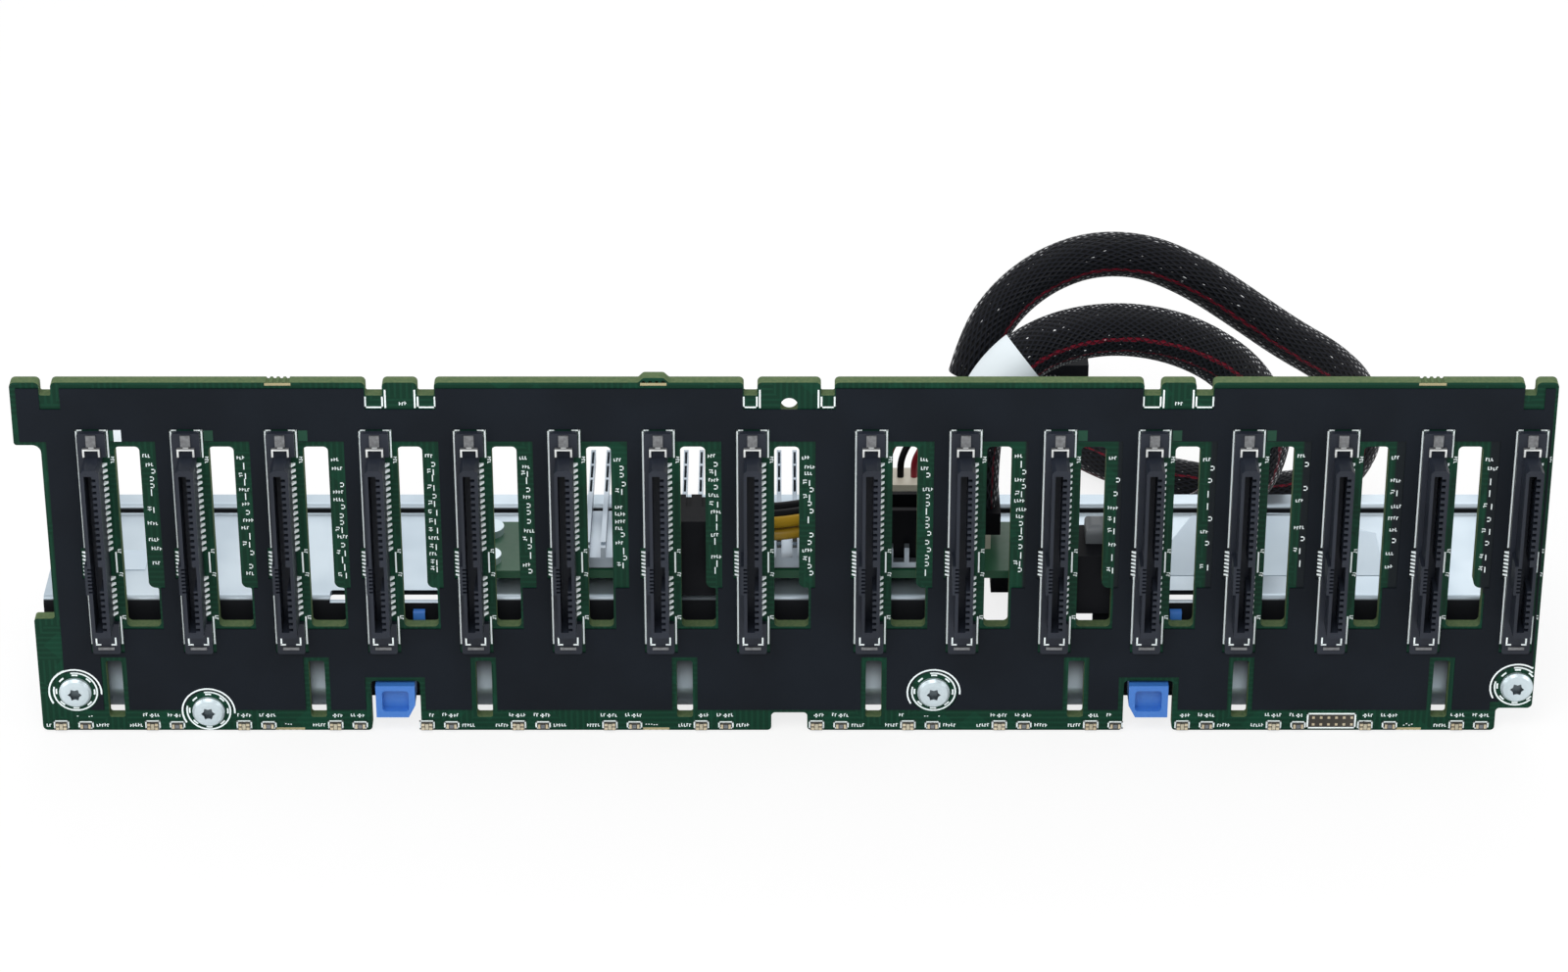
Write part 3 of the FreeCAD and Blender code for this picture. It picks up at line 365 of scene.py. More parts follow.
def trace_group():
    """Copper tracks under solder mask: long thin steps along and across the board."""
    group, entry, leave = shader_group(
        "copper_tracks",
        [("Vector", "NodeSocketVector", None), ("Pitch", "NodeSocketFloat", 0.0009)],
        [("Tracks", "NodeSocketFloat"), ("Planes", "NodeSocketFloat")])
    place = axes(group, entry.outputs["Vector"])
    flat = group.nodes.new("ShaderNodeCombineXYZ")
    group.links.new(place["X"], flat.inputs["X"])
    group.links.new(place["Z"], flat.inputs["Y"])
    group.links.new(place["Y"], flat.inputs["Z"])
    cells = group.nodes.new("ShaderNodeTexVoronoi")
    cells.distance = "MANHATTAN"
    cells.inputs["Scale"].default_value = 120
    group.links.new(flat.outputs[0], cells.inputs["Vector"])
    phase = math_node(group, "DIVIDE", place["X"], entry.outputs["Pitch"])
    rise = math_node(group, "DIVIDE", place["Z"], entry.outputs["Pitch"])
    pick = math_node(group, "GREATER_THAN", cells.outputs["Color"], 0.5)
    along = math_node(group, "ADD", math_node(group, "MULTIPLY", phase, pick),
                      math_node(group, "MULTIPLY", rise, math_node(group, "SUBTRACT", 1.0, pick)))
    wave = math_node(group, "PINGPONG", along, 0.5)
    lines = ramp_between(group, wave, 0.28, 0.34)
    plane = ramp_between(group, cells.outputs["Distance"], 0.5, 0.53)
    group.links.new(lines, leave.inputs["Tracks"])
    group.links.new(plane, leave.inputs["Planes"])
    return group


def braid_group():
    """Crossing strands of a braided sleeve, from the piece's own UV map."""
    group, entry, leave = shader_group(
        "braid_strands",
        [("UV", "NodeSocketVector", None), ("Around", "NodeSocketFloat", 12.0),
         ("Along", "NodeSocketFloat", 90.0)],
        [("Height", "NodeSocketFloat"), ("Gap", "NodeSocketFloat"), ("Strand", "NodeSocketFloat")])
    place = axes(group, entry.outputs["UV"])
    across = math_node(group, "MULTIPLY", place["Y"], entry.outputs["Around"])
    run = math_node(group, "MULTIPLY", place["X"], entry.outputs["Along"])
    left = math_node(group, "PINGPONG", math_node(group, "ADD", across, run), 0.5)
    right = math_node(group, "PINGPONG", math_node(group, "SUBTRACT", across, run), 0.5)
    height = math_node(group, "MAXIMUM", left, right)
    gap = ramp_between(group, height, 0.24, 0.14)
    speck = group.nodes.new("ShaderNodeTexNoise")
    speck.inputs["Scale"].default_value = 60
    group.links.new(entry.outputs["UV"], speck.inputs["Vector"])
    group.links.new(height, leave.inputs["Height"])
    group.links.new(gap, leave.inputs["Gap"])
    group.links.new(speck.outputs["Fac"], leave.inputs["Strand"])
    return group


GROUPS = {}


def placed_group(tree, maker, **values):
    """A node of the named group in a material, with its own values set."""
    if maker not in GROUPS:
        GROUPS[maker] = maker()
    node = tree.nodes.new("ShaderNodeGroup")
    node.node_tree = GROUPS[maker]
    for label, value in values.items():
        node.inputs[label].default_value = value
    return node


def object_position(tree):
    node = tree.nodes.new("ShaderNodeTexCoord")
    return node.outputs["Object"]


def object_axes(tree):
    return axes(tree, object_position(tree))


def facing(tree):
    """Which way a face looks, as X, Y and Z."""
    return axes(tree, tree.nodes.new("ShaderNodeNewGeometry").outputs["Normal"])


def facing_along(tree):
    """1 on faces that look along Y, 0 on the others, such as the board's cut edges."""
    return math_node(tree, "GREATER_THAN", math_node(tree, "ABSOLUTE", facing(tree)["Y"]), 0.7)


def bumped(tree, shader, height, strength, distance):
    node = tree.nodes.new("ShaderNodeBump")
    node.inputs["Strength"].default_value = strength
    node.inputs["Distance"].default_value = distance
    tree.links.new(height, node.inputs["Height"])
    tree.links.new(node.outputs["Normal"], shader.inputs["Normal"])


def plain_material(name, colour, roughness, metallic=0.0, coat=0.0, shine=0.5):
    """A material with a fresh Principled shader; colour is linear."""
    material = bpy.data.materials.new(name)
    material.use_nodes = True
    tree = material.node_tree
    shader = tree.nodes["Principled BSDF"]
    shader.inputs["Base Color"].default_value = (*colour, 1)
    shader.inputs["Roughness"].default_value = roughness
    shader.inputs["Metallic"].default_value = metallic
    shader.inputs["Coat Weight"].default_value = coat
    shader.inputs["Specular IOR Level"].default_value = shine
    return material, tree, shader


MADE = {}


def material_of(maker):
    """Each material is made once."""
    if maker not in MADE:
        MADE[maker] = maker()
    return MADE[maker]


def overlaid(tree, mask, colour):
    """Puts another colour over a finish where the mask is 1."""
    socket = tree.nodes["Principled BSDF"].inputs["Base Color"]
    before = socket.links[0].from_socket
    tree.links.new(blended(tree, mask, before, colour), socket)


def mottled(name, colour, other, roughness, metallic=0.0, coat=0.0, scale=900.0,
            stretch=(1, 1, 1), bump=0.15, distance=0.00002, shine=0.5):
    """A finish whose colour and roughness wander a little and whose surface has a fine grain."""
    material, tree, shader = plain_material(name, colour, roughness, metallic, coat, shine)
    grain = placed_group(tree, grain_group, Scale=scale, Stretch=stretch)
    tree.links.new(object_position(tree), grain.inputs["Vector"])
    mask = ramp_between(tree, grain.outputs["Mottle"], 0.3, 0.7)
    tree.links.new(blended(tree, mask, colour, other), shader.inputs["Base Color"])
    rough = math_node(tree, "MULTIPLY", grain.outputs["Grain"], 0.16)
    tree.links.new(math_node(tree, "ADD", rough, roughness - 0.08, clamp=True), shader.inputs["Roughness"])
    bumped(tree, shader, grain.outputs["Grain"], bump, distance)
    return material


# ------------------------------------------------------------------ finishes
def painted_shade_beside_vents(tree, place):
    """Painted shade: 1 on the front beside the right half's vents, past a margin that narrows towards the
    board's end, where the mask is coloured nearly black.
    """
    pitch = (BAY_X[15] - BAY_X[8]) / 7 * MM
    along = math_node(tree, "MODULO", math_node(tree, "SUBTRACT", place["X"], BAY_X[8] * MM), pitch)
    past_vent = math_node(tree, "SUBTRACT", along, VENT_RIGHT * MM)
    margin = mapped(tree, place["X"], 45 * MM, 115 * MM, 2.4 * MM, 1.2 * MM)
    return folded(tree, "MULTIPLY", (
        ramp_between(tree, math_node(tree, "SUBTRACT", past_vent, margin), -0.2 * MM, 0.3 * MM),
        math_node(tree, "GREATER_THAN", place["X"], 30 * MM),
        math_node(tree, "GREATER_THAN", place["Z"], 30 * MM),
        math_node(tree, "LESS_THAN", place["Z"], 63 * MM),
        math_node(tree, "LESS_THAN", place["Y"], FRONT + 0.1 * MM)))


def solder_mask():
    green = tuple(bpy.context.scene.backplane_board.mask_green)
    material, tree, shader = plain_material("solder_mask", green, 0.42, shine=0.13)
    where = object_position(tree)
    tracks = placed_group(tree, trace_group, Pitch=0.0011)
    tree.links.new(where, tracks.inputs["Vector"])
    lighter = tuple(min(1, c * 1.5 + 0.004) for c in green)
    darker = tuple(c * 0.75 for c in green)
    ground = blended(tree, tracks.outputs["Planes"], green, darker)
    faint = math_node(tree, "MULTIPLY", tracks.outputs["Tracks"], 0.35)
    face = blended(tree, faint, ground, lighter)
    # painted shade: beside the right half's vents the mask is coloured nearly black
    face = blended(tree, painted_shade_beside_vents(tree, axes(tree, where)), face, (0.0054, 0.0090, 0.0118))
    grain = placed_group(tree, grain_group, Scale=1500.0)
    tree.links.new(where, grain.inputs["Vector"])
    edge = blended(tree, grain.outputs["Grain"], (0.045, 0.10, 0.045), (0.15, 0.19, 0.09))
    front = facing_along(tree)
    tree.links.new(blended(tree, front, edge, face), shader.inputs["Base Color"])
    tree.links.new(math_node(tree, "SUBTRACT", 0.85, math_node(tree, "MULTIPLY", front, 0.45)),
                   shader.inputs["Roughness"])
    bumped(tree, shader, tracks.outputs["Tracks"], 0.3, 0.00003)
    return material


def card_mask():
    return mottled("card_mask", (0.012, 0.075, 0.036), (0.018, 0.095, 0.045), 0.4, shine=0.3)


def insulating_film():
    black = tuple(bpy.context.scene.backplane_board.film_black)
    return mottled("insulating_film", black, tuple(c * 1.3 for c in black), 0.55,
                   scale=2600.0, bump=0.25, shine=0.1)


def socket_plastic():
    return mottled("socket_plastic", (0.014, 0.0175, 0.026), (0.020, 0.0245, 0.036), 0.42, scale=2200.0,
                   shine=0.22)


def tinned():
    return mottled("tinned_metal", (0.92, 0.99, 1.0), (0.86, 0.94, 0.96), 0.25, shine=0.8)


def lock_metal():
    """The hoop's front is bright; its other sides are coloured darker as painted shade, and the solder tab
    and the clip at the foot take the same darker grey.
    """
    material, tree, shader = plain_material("lock_metal", (0.8, 0.8, 0.8), 0.38, metallic=0.5)
    rise = object_axes(tree)["Z"]
    # painted shade on the hoop's faces that don't look along Y; the solder tab and the clip at the foot get
    # the same grey
    painted_shade_and_grey = folded(tree, "MAXIMUM", (
        ramp_between(tree, rise, SOCKET_HIGH.z - 2.8 * MM, SOCKET_HIGH.z - 2.6 * MM),
        ramp_between(tree, rise, SOCKET_LOW.z + 3 * MM, SOCKET_LOW.z + 2 * MM),
        math_node(tree, "SUBTRACT", 1.0, facing_along(tree))))
    grain = placed_group(tree, grain_group, Scale=1400.0)
    tree.links.new(object_position(tree), grain.inputs["Vector"])
    grey = blended(tree, grain.outputs["Grain"], (0.07, 0.07, 0.075), (0.30, 0.31, 0.32))
    tree.links.new(blended(tree, painted_shade_and_grey, (0.85, 0.87, 0.86), grey), shader.inputs["Base Color"])
    bumped(tree, shader, grain.outputs["Grain"], 0.3, 0.00005)
    return material


def zinc_plate():
    """Zinc plated sheet, dark in the board's shade: its wall's upper part and its floor by the tabs."""
    material, tree, shader = plain_material("zinc_plate", (0.5, 0.57, 0.63), 0.36, metallic=0.75)
    where = object_position(tree)
    grain = placed_group(tree, grain_group, Scale=420.0, Stretch=(1, 6, 1))
    tree.links.new(where, grain.inputs["Vector"])
    sheen = blended(tree, ramp_between(tree, grain.outputs["Mottle"], 0.3, 0.7),
                    (0.40, 0.475, 0.54), (0.52, 0.60, 0.66))
    place = axes(tree, where)
    high_wall = math_node(tree, "MULTIPLY", ramp_between(tree, facing(tree)["Y"], -0.55, -0.85),
                          ramp_between(tree, place["Z"], 5.5 * MM, 15 * MM))
    off_tab = folded(tree, "MINIMUM", [
        math_node(tree, "ABSOLUTE", math_node(tree, "SUBTRACT", place["X"], x * MM)) for x in TAB_X])
    floor_by_tab = folded(tree, "MULTIPLY", (
        math_node(tree, "LESS_THAN", off_tab, 8 * MM),
        math_node(tree, "LESS_THAN", place["Z"], 3 * MM),
        ramp_between(tree, place["Y"], FRONT + 19 * MM, FRONT + 16 * MM)))
    shade = math_node(tree, "MAXIMUM", high_wall, floor_by_tab)
    tree.links.new(blended(tree, shade, sheen, (0.012, 0.013, 0.015)), shader.inputs["Base Color"])
    lit = math_node(tree, "SUBTRACT", 1.0, shade)
    tree.links.new(math_node(tree, "MULTIPLY", lit, 0.75), shader.inputs["Metallic"])
    tree.links.new(math_node(tree, "MULTIPLY", lit, 0.5), shader.inputs["Specular IOR Level"])
    bumped(tree, shader, grain.outputs["Grain"], 0.15, 0.00002)
    return material


def screw_steel():
    """Plated steel; the six-lobed recesses of the board's screws are coloured dark inside as painted shade.
    """
    material = mottled("screw_steel", (0.52, 0.62, 0.66), (0.64, 0.73, 0.77), 0.36, metallic=0.6)
    tree = material.node_tree
    place = object_axes(tree)
    reaches = []
    for x, z in SCREW_PLACES:
        across = math_node(tree, "SUBTRACT", place["X"], x * MM)
        up = math_node(tree, "SUBTRACT", place["Z"], z * MM)
        reaches.append(math_node(tree, "SQRT", math_node(
            tree, "ADD", math_node(tree, "MULTIPLY", across, across), math_node(tree, "MULTIPLY", up, up))))
    inside = math_node(tree, "LESS_THAN", folded(tree, "MINIMUM", reaches), RECESS_RADIUS * MM)
    sunk = math_node(tree, "GREATER_THAN", place["Y"], FRONT - 1.22 * MM)
    # painted shade inside the six-lobed recesses
    overlaid(tree, math_node(tree, "MULTIPLY", inside, sunk), (0.11, 0.135, 0.15))
    return material


def tab_blue():
    return mottled("tab_blue", (0.035, 0.155, 0.50), (0.045, 0.18, 0.56), 0.4, scale=1800.0)


def black_moulding():
    return mottled("black_moulding", BLACK, WORN_BLACK, 0.5, scale=2000.0, shine=0.05)


def heatsink_metal():
    return mottled("heatsink_metal", (0.20, 0.24, 0.28), (0.36, 0.41, 0.46), 0.34, metallic=0.8,
                   scale=700.0, stretch=(1, 0.1, 1))


def white_moulding():
    return mottled("white_moulding", (0.62, 0.58, 0.48), (0.72, 0.68, 0.58), 0.45)


def grey_moulding():
    return mottled("grey_moulding", (0.12, 0.135, 0.15), (0.17, 0.185, 0.20), 0.45)


def yellow_jacket():
    return mottled("yellow_jacket", (0.36, 0.215, 0.012), (0.46, 0.28, 0.02), 0.4, shine=0.35)


def black_jacket():
    return mottled("black_jacket", BLACK, WORN_BLACK, 0.45, shine=0.08)


def upper_row_jacket():
    """Black jackets, except that of the row's front wire, which is yellow; the row turns aside half way."""
    material = mottled("upper_row_jacket", BLACK, WORN_BLACK, 0.45, shine=0.08)
    tree = material.node_tree
    place = object_axes(tree)
    aside = mapped(tree, place["X"], -1.5 * MM, 8.5 * MM, 11.05 * MM, 13.55 * MM)
    behind = math_node(tree, "SUBTRACT", place["Y"], aside)
    overlaid(tree, math_node(tree, "LESS_THAN", behind, FRONT), YELLOW)
    return material


def red_jacket():
    return mottled("red_jacket", (0.20, 0.008, 0.018), (0.26, 0.012, 0.025), 0.4, shine=0.35)


def print_white():
    return mottled("print_white", (0.92, 1.0, 1.0), (0.86, 0.95, 0.96), 0.6, scale=4000.0, bump=0.2)


def bare_laminate():
    return mottled("bare_laminate", (0.42, 0.36, 0.20), (0.30, 0.27, 0.15), 0.8, scale=3000.0, bump=0.5)


def pad_tan():
    return mottled("pad_tan", (0.50, 0.42, 0.28), (0.62, 0.55, 0.40), 0.45, metallic=0.2)


def lens_body():
    return mottled("lens_body", (0.035, 0.032, 0.026), (0.06, 0.055, 0.045), 0.4, shine=0.3)


def lens_clear():
    return mottled("lens_clear", (0.42, 0.38, 0.27), (0.52, 0.48, 0.36), 0.25, coat=0.5)


def window_green():
    green = tuple(bpy.context.scene.backplane_board.mask_green)
    return mottled("window_green", green, tuple(c * 1.3 for c in green), 0.45, shine=0.3)


def label_paper():
    return mottled("label_paper", (0.76, 0.83, 0.87), (0.71, 0.78, 0.82), 0.6, scale=3000.0)


def shelf_paper():
    return mottled("shelf_paper", (0.74, 0.87, 0.98), (0.69, 0.82, 0.94), 0.5, scale=3000.0)


def braided_sleeve(name, red_places):
    """Dark braid with red wires that show through along it; the strands' tops carry a painted highlight and
    the gaps painted shade, and white specks, towards the sleeve's edges and here and there, are painted
    light from the pale background seen through the braid.

    Each red wire is (place round the sleeve, half width), both as shares of the way round."""
    material, tree, shader = plain_material(name, (0.01, 0.01, 0.012), 0.5, shine=0.09)
    coordinates = tree.nodes.new("ShaderNodeTexCoord")
    braid = placed_group(tree, braid_group, Around=28.0, Along=84.0)
    tree.links.new(coordinates.outputs["UV"], braid.inputs["UV"])
    # painted highlight on the strands' tops and painted shade in the gaps between them
    strands = blended(tree, ramp_between(tree, braid.outputs["Height"], 0.2, 0.48),
                      (0.0006, 0.0007, 0.0010), (0.0088, 0.0100, 0.0142))
    wander = math_node(tree, "MULTIPLY", math_node(tree, "SUBTRACT", braid.outputs["Strand"], 0.5), 0.03)
    round_it = math_node(tree, "ADD", axes(tree, coordinates.outputs["UV"])["Y"], wander)
    wires = [math_node(tree, "LESS_THAN", math_node(tree, "ABSOLUTE", math_node(
        tree, "SUBTRACT", round_it, middle)), width) for middle, width in red_places]
    red = math_node(tree, "MULTIPLY", folded(tree, "MAXIMUM", wires),
                    ramp_between(tree, braid.outputs["Height"], 0.47, 0.36))
    strands = blended(tree, red, strands, (0.13, 0.005, 0.015))
    # painted light: white specks where the pale background shows through the braid, towards the sleeve's
    # edges and here and there
    weight = tree.nodes.new("ShaderNodeLayerWeight")
    weight.inputs["Blend"].default_value = 0.35
    edges = math_node(tree, "MULTIPLY", ramp_between(tree, weight.outputs["Facing"], 0.30, 0.55),
                      ramp_between(tree, braid.outputs["Strand"], 0.42, 0.52))
    few = ramp_between(tree, braid.outputs["Strand"], 0.66, 0.70)
    painted_see_through = math_node(tree, "MAXIMUM", edges, few)
    painted_backdrop_specks = math_node(tree, "MULTIPLY", braid.outputs["Gap"], painted_see_through)
    tree.links.new(blended(tree, painted_backdrop_specks, strands, (0.72, 0.73, 0.75)), shader.inputs["Base Color"])
    bumped(tree, shader, braid.outputs["Height"], 0.9, 0.0004)
    return material


def upper_sleeve():
    return braided_sleeve("upper_sleeve", ((0.44, 0.011), (0.66, 0.009)))


def lower_sleeve():
    return braided_sleeve("lower_sleeve", ((0.24, 0.012), (0.33, 0.005), (0.70, 0.010)))


NODE_FINISHES = {
    solder_mask: ["backplane_pcb"],
    card_mask: ["expander_card"],
    insulating_film: ["insulator_film"],
    socket_plastic: SOCKETS,
    tinned: ["power_contacts", "signal_contacts", "second_port_contacts"],
    lock_metal: ["socket_lock_tabs"],
    lens_body: ["status_lights", "activity_lights"],
    screw_steel: ["board_screws", "card_screws", "screw_bosses", "card_standoffs"],
    zinc_plate: ["carrier_tray"],
    tab_blue: TABS,
    black_moulding: ["expander_chip", "power_socket", "power_plug", "card_power_socket", "card_cable_plug",
                     "card_link_connector", "upper_cable_plug", "lower_cable_plug"],
    heatsink_metal: ["heatsink"],
    white_moulding: ["signal_header", "card_cable_socket"],
    grey_moulding: ["link_latch"],
    yellow_jacket: ["yellow_power_wires"],
    upper_row_jacket: ["black_power_wires"],
    black_jacket: ["black_signal_wires"],
    red_jacket: ["red_signal_wires"],
    label_paper: ["cable_label"],
}


class BACKPLANE_OT_finishes(bpy.types.Operator):
    """Gives every modelled piece its finish"""
    bl_idname = "backplane.finishes"
    bl_label = "Finishes"

    def execute(self, context):
        for maker, names in NODE_FINISHES.items():
            for name in names:
                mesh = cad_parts[name].data
                mesh.materials.clear()
                mesh.materials.append(material_of(maker))
        return {"FINISHED"}


def clear_of_openings(strokes):
    """Leaves out strokes that would lie over the board's openings, its notches or its screws."""
    blocked = [(x - 2.2, x + 2.2, 2.6, 16.0) for x in PEEP_PLACES]
    blocked += [(x - 5.9, x + 5.9, -1, 12.2) for x in TAB_X]
    blocked += [(x - 5.3, x + 5.3, z - 5.3, z + 5.3) for x, z in SCREW_PLACES]
    blocked += [(-3.4, 5.4, -1, 5.0), (133.4, 142, -1, 6.0), (-142, -139.6, -1, 25)]
    blocked += [(x0, x1, -1, 0.9) for x0, x1 in BREAKS_BELOW] + [(98.0, 109.0, -1, 4.6)]
    return [(x0, x1, z0, z1) for x0, x1, z0, z1 in strokes
            if not any(x0 < b1 and x1 > b0 and z0 < t1 and z1 > t0 for b0, b1, t0, t1 in blocked)]


class BACKPLANE_OT_socket_print(bpy.types.Operator):
    """Prints the outline and the small marks round every drive socket"""
    bl_idname = "backplane.socket_print"
    bl_label = "Socket outlines"

    def execute(self, context):
        board = context.scene.backplane_board
        line, height = board.print_line / MM, board.print_height / MM
        rng = random.Random(11)
        left, right, low, top = -2.95, 2.75, 19.0, 64.75
        strokes = [(left, left + line, 39.8, top), (left, left + line, low, 33.6),
                   (left, -1.7, top - line, top), (1.5, -left, top - line, top),
                   (right, right + line, 58.9, top), (right, right + line, 34.5, 38.9),
                   (right, right + line, low, 25.0)]
        for z, count in ((59.1, 3), (39.5, 2), (34.5, 2), (25.2, 2)):
            strokes += mark_bars(rng, 3.2, z, count, upright=True)
        at_every_socket(raised("socket_outlines", strokes, print_white, FRONT, height))
        corners = []
        for side in (-1, 1):
            x0, x1 = sorted((side * 1.95, side * (1.95 - line)))
            corners.append((x0, x1, 19.6, 21.1))
            x0, x1 = sorted((side * 1.95, side * 0.95))
            corners.append((x0, x1, 19.4, 19.4 + line))
        at_every_socket(raised("socket_foot_marks", corners, print_white, FLANGE_FACE, height))
        return {"FINISHED"}


class BACKPLANE_OT_vent_print(bpy.types.Operator):
    """Prints the small component marks on the green strip beside every vent"""
    bl_idname = "backplane.vent_print"
    bl_label = "Marks beside the vents"

    def execute(self, context):
        height = context.scene.backplane_board.print_height / MM
        rng = random.Random(5)
        strokes = []
        for bay, x in enumerate(BAY_X[:15]):
            sparser = 1.0 if bay > 9 else 0
            z = 58.9 - 0.4 * (bay % 3)
            strokes += mark_bars(rng, x + 9.1, z, 3)
            z -= 1.9
            while z > 33.4:
                kind = rng.random()
                column = x + 10.2 + rng.choice((0, 0, 0.35))
                if kind < 0.30:
                    strokes += [(column, column + 0.5, low, low + 0.22) for low in (z, z + 0.75)]
                    strokes.append((column + 0.55, column + 0.7, z + 0.2, z + 0.8))
                elif kind < 0.55:
                    strokes += mark_bars(rng, x + 9.2 + rng.choice((0, 0.4)), z, rng.choice((3, 4)))
                elif kind < 0.75:
                    strokes += mark_bars(rng, x + 9.3, z + 1.0, 2, upright=True)
                    strokes.append((column + 0.2, column + 0.4, z - 0.3, z + 0.9))
                elif kind < 0.9:
                    strokes.append((column, column + 0.2, z - 0.2, z + 1.2))
                z -= rng.choice((1.45, 1.6, 1.9)) + sparser
        raised("vent_marks", strokes, print_white, FRONT, height)
        squares = [(BAY_X[bay] + 3.3, BAY_X[bay] + 5.0, 62.5, 64.7) for bay in WINDOW_BAYS]
        raised("film_windows", squares, window_green, FILM_FRONT, height)
        bare = [(BAY_X[0] + 4.1, BAY_X[0] + 5.5, 62.4, 64.8)]
        raised("bare_part", bare, label_paper, FILM_FRONT, 2 * height)
        return {"FINISHED"}


class BACKPLANE_OT_light_print(bpy.types.Operator):
    """Prints the boxes and marks along the board's foot and lays the pads of the lights"""
    bl_idname = "backplane.light_print"
    bl_label = "Lights and marks at the foot"

    def execute(self, context):
        board = context.scene.backplane_board
        line, height = board.print_line / MM, board.print_height / MM
        rng = random.Random(23)
        strokes, pads, centres, small, middles = [], [], [], [], []
        for x in BAY_X:
            status, activity = x - 9.85, x - 5.2    # middles of the larger and the smaller light
            strokes += frame_strokes(status - 1.45, status + 1.45, 0.12, 2.12, line)
            strokes += frame_strokes(activity - 1.45, activity + 1.45, 0.28, 1.92, line)
            marks = mark_bars(rng, activity + 2.0, 0.7, 5) + mark_bars(rng, status - 4.3, 0.7, 5)
            for centre in (status, activity):
                marks += mark_bars(rng, centre - 1.7, 3.0, 2) + mark_bars(rng, centre + 0.5, 2.9, 2)
                marks += [(centre - 0.5, centre + 0.3, 3.1, 3.3), (centre - 0.2, centre + 0.1, 2.8, 3.6)]
            strokes += clear_of_openings(marks)
            for side in (-0.73, 0.73):
                pads += [(status + side - 0.3, status + side + 0.3, z, z + 0.56) for z in (0.42, 1.22)]
                small.append((activity + side - 0.22, activity + side + 0.22, 0.66, 1.54))
            centres.append((status - 0.32, status + 0.32, 0.5, 1.7))
            middles.append((activity - 0.36, activity + 0.36, 0.72, 1.48))
        strokes += frame_strokes(98.9, 108.2, 0.35, 3.75, line)
        strokes += mark_bars(rng, 109.0, 1.2, 3)
        raised("foot_marks", strokes, print_white, FRONT, height)
        raised("status_light_pads", pads, pad_tan, STATUS_FACE, height)
        raised("status_light_lenses", centres, lens_clear, STATUS_FACE, 2 * height)
        raised("activity_light_pads", small, pad_tan, ACTIVITY_FACE, height)
        raised("activity_light_lenses", middles, grey_moulding, ACTIVITY_FACE, 2 * height)
        bed = [(99.2, 107.9, 0.65, 3.45)]
        raised("spare_header_bed", bed, lens_body, FRONT, height)
        spare = [(99.9 + 1.45 * n, 100.4 + 1.45 * n, z, z + 0.5) for n in range(6) for z in (1.0, 2.5)]
        raised("spare_header_pads", spare, pad_tan, FRONT, 2 * height)
        broken = [(x0, x1, 73.9, 74.42) for x0, x1 in BREAKS_ABOVE]
        broken += [(x0, x1, 0.05, 0.55) for x0, x1 in BREAKS_BELOW]
        raised("breakaway_laminate", broken, bare_laminate, FRONT, height)
        return {"FINISHED"}


class BACKPLANE_OT_key_print(bpy.types.Operator):
    """Prints the brackets round the notches in the top edge and the rings round the screws"""
    bl_idname = "backplane.key_print"
    bl_label = "Notch brackets and screw rings"

    def execute(self, context):
        board = context.scene.backplane_board
        line, height = board.print_line / MM, board.print_height / MM
        rng = random.Random(3)
        strokes = []
        for x0, x1 in KEY_NOTCHES:
            strokes += frame_strokes(x0 - 0.1, x1 + 0.1, 69.25, 71.6, line, sides="lrb")
            strokes += frame_strokes(x0 - 0.65, x1 + 0.65, 69.25, 73.0, line, sides="lr")
        for x in (-70.3, 71.4):
            strokes += mark_bars(rng, x, 69.8, 3)
        raised("notch_brackets", strokes, print_white, FRONT, height)
        film = (FRONT - FILM_FRONT) / MM + height
        for number, (x, z) in enumerate(SCREW_PLACES, start=1):
            ring = EDGE_RING if number == len(SCREW_PLACES) else WHOLE_RING
            arcs = [swept_arc(x, z, INNER_RADIUS, line, height, *arc) for arc in ring["inner"]]
            arcs += [swept_arc(x, z, OUTER_RADIUS, line, film, *arc) for arc in ring["outer"]]
            arcs += [swept_arc(x, z, DASH_RADIUS, DASH_WIDTH, height, 45 * turn - 10, 45 * turn + 8)
                     for turn in ring["dashes"]]
            settled(joined(arcs), "screw_ring_%d" % number, print_white)
        return {"FINISHED"}


class BACKPLANE_OT_shelf_label(bpy.types.Operator):
    """Lays the two blank labels on the carrier's shelf"""
    bl_idname = "backplane.shelf_label"
    bl_label = "Shelf labels"

    def execute(self, context):
        laid_label("shelf_label", 70.5, 113.5, 12.7, 35.5,
                   cuts=((73.6, 24.8, -0.905, 0.426), (103.0, 33.6, 0.42, 0.907)))
        laid_label("small_shelf_label", -131.0, -121.0, 14.8, 22.2)
        return {"FINISHED"}


def laid_label(name, x0, x1, y0, y1, cuts=()):
    """A blank label on the shelf, in mm; a cut is a point (x, y) and the way (x, y) to what falls off."""
    nothing_selected()
    bpy.ops.mesh.primitive_plane_add(size=MM)
    label = bpy.context.object
    bpy.ops.object.mode_set(mode="EDIT")
    bpy.ops.mesh.select_all(action="SELECT")
    bpy.ops.transform.resize(value=(x1 - x0, y1 - y0, 1), center_override=(0, 0, 0))
    middle = Vector(((x0 + x1) / 2 * MM, FRONT + (y0 + y1) / 2 * MM, SHELF_TOP + 0.01 * MM))
    bpy.ops.transform.translate(value=middle)
    for x, y, across, back in cuts:
        bpy.ops.mesh.select_all(action="SELECT")
        bpy.ops.mesh.bisect(plane_co=(x * MM, FRONT + y * MM, SHELF_TOP), plane_no=(across, back, 0),
                            clear_outer=True, use_fill=False)
    bpy.ops.mesh.select_all(action="SELECT")
    bpy.ops.mesh.extrude_region_move(TRANSFORM_OT_translate={"value": (0, 0, PAPER * MM)})
    bpy.ops.mesh.select_all(action="SELECT")
    bpy.ops.mesh.normals_make_consistent(inside=False)
    bpy.ops.object.mode_set(mode="OBJECT")
    return settled(label, name, shelf_paper)


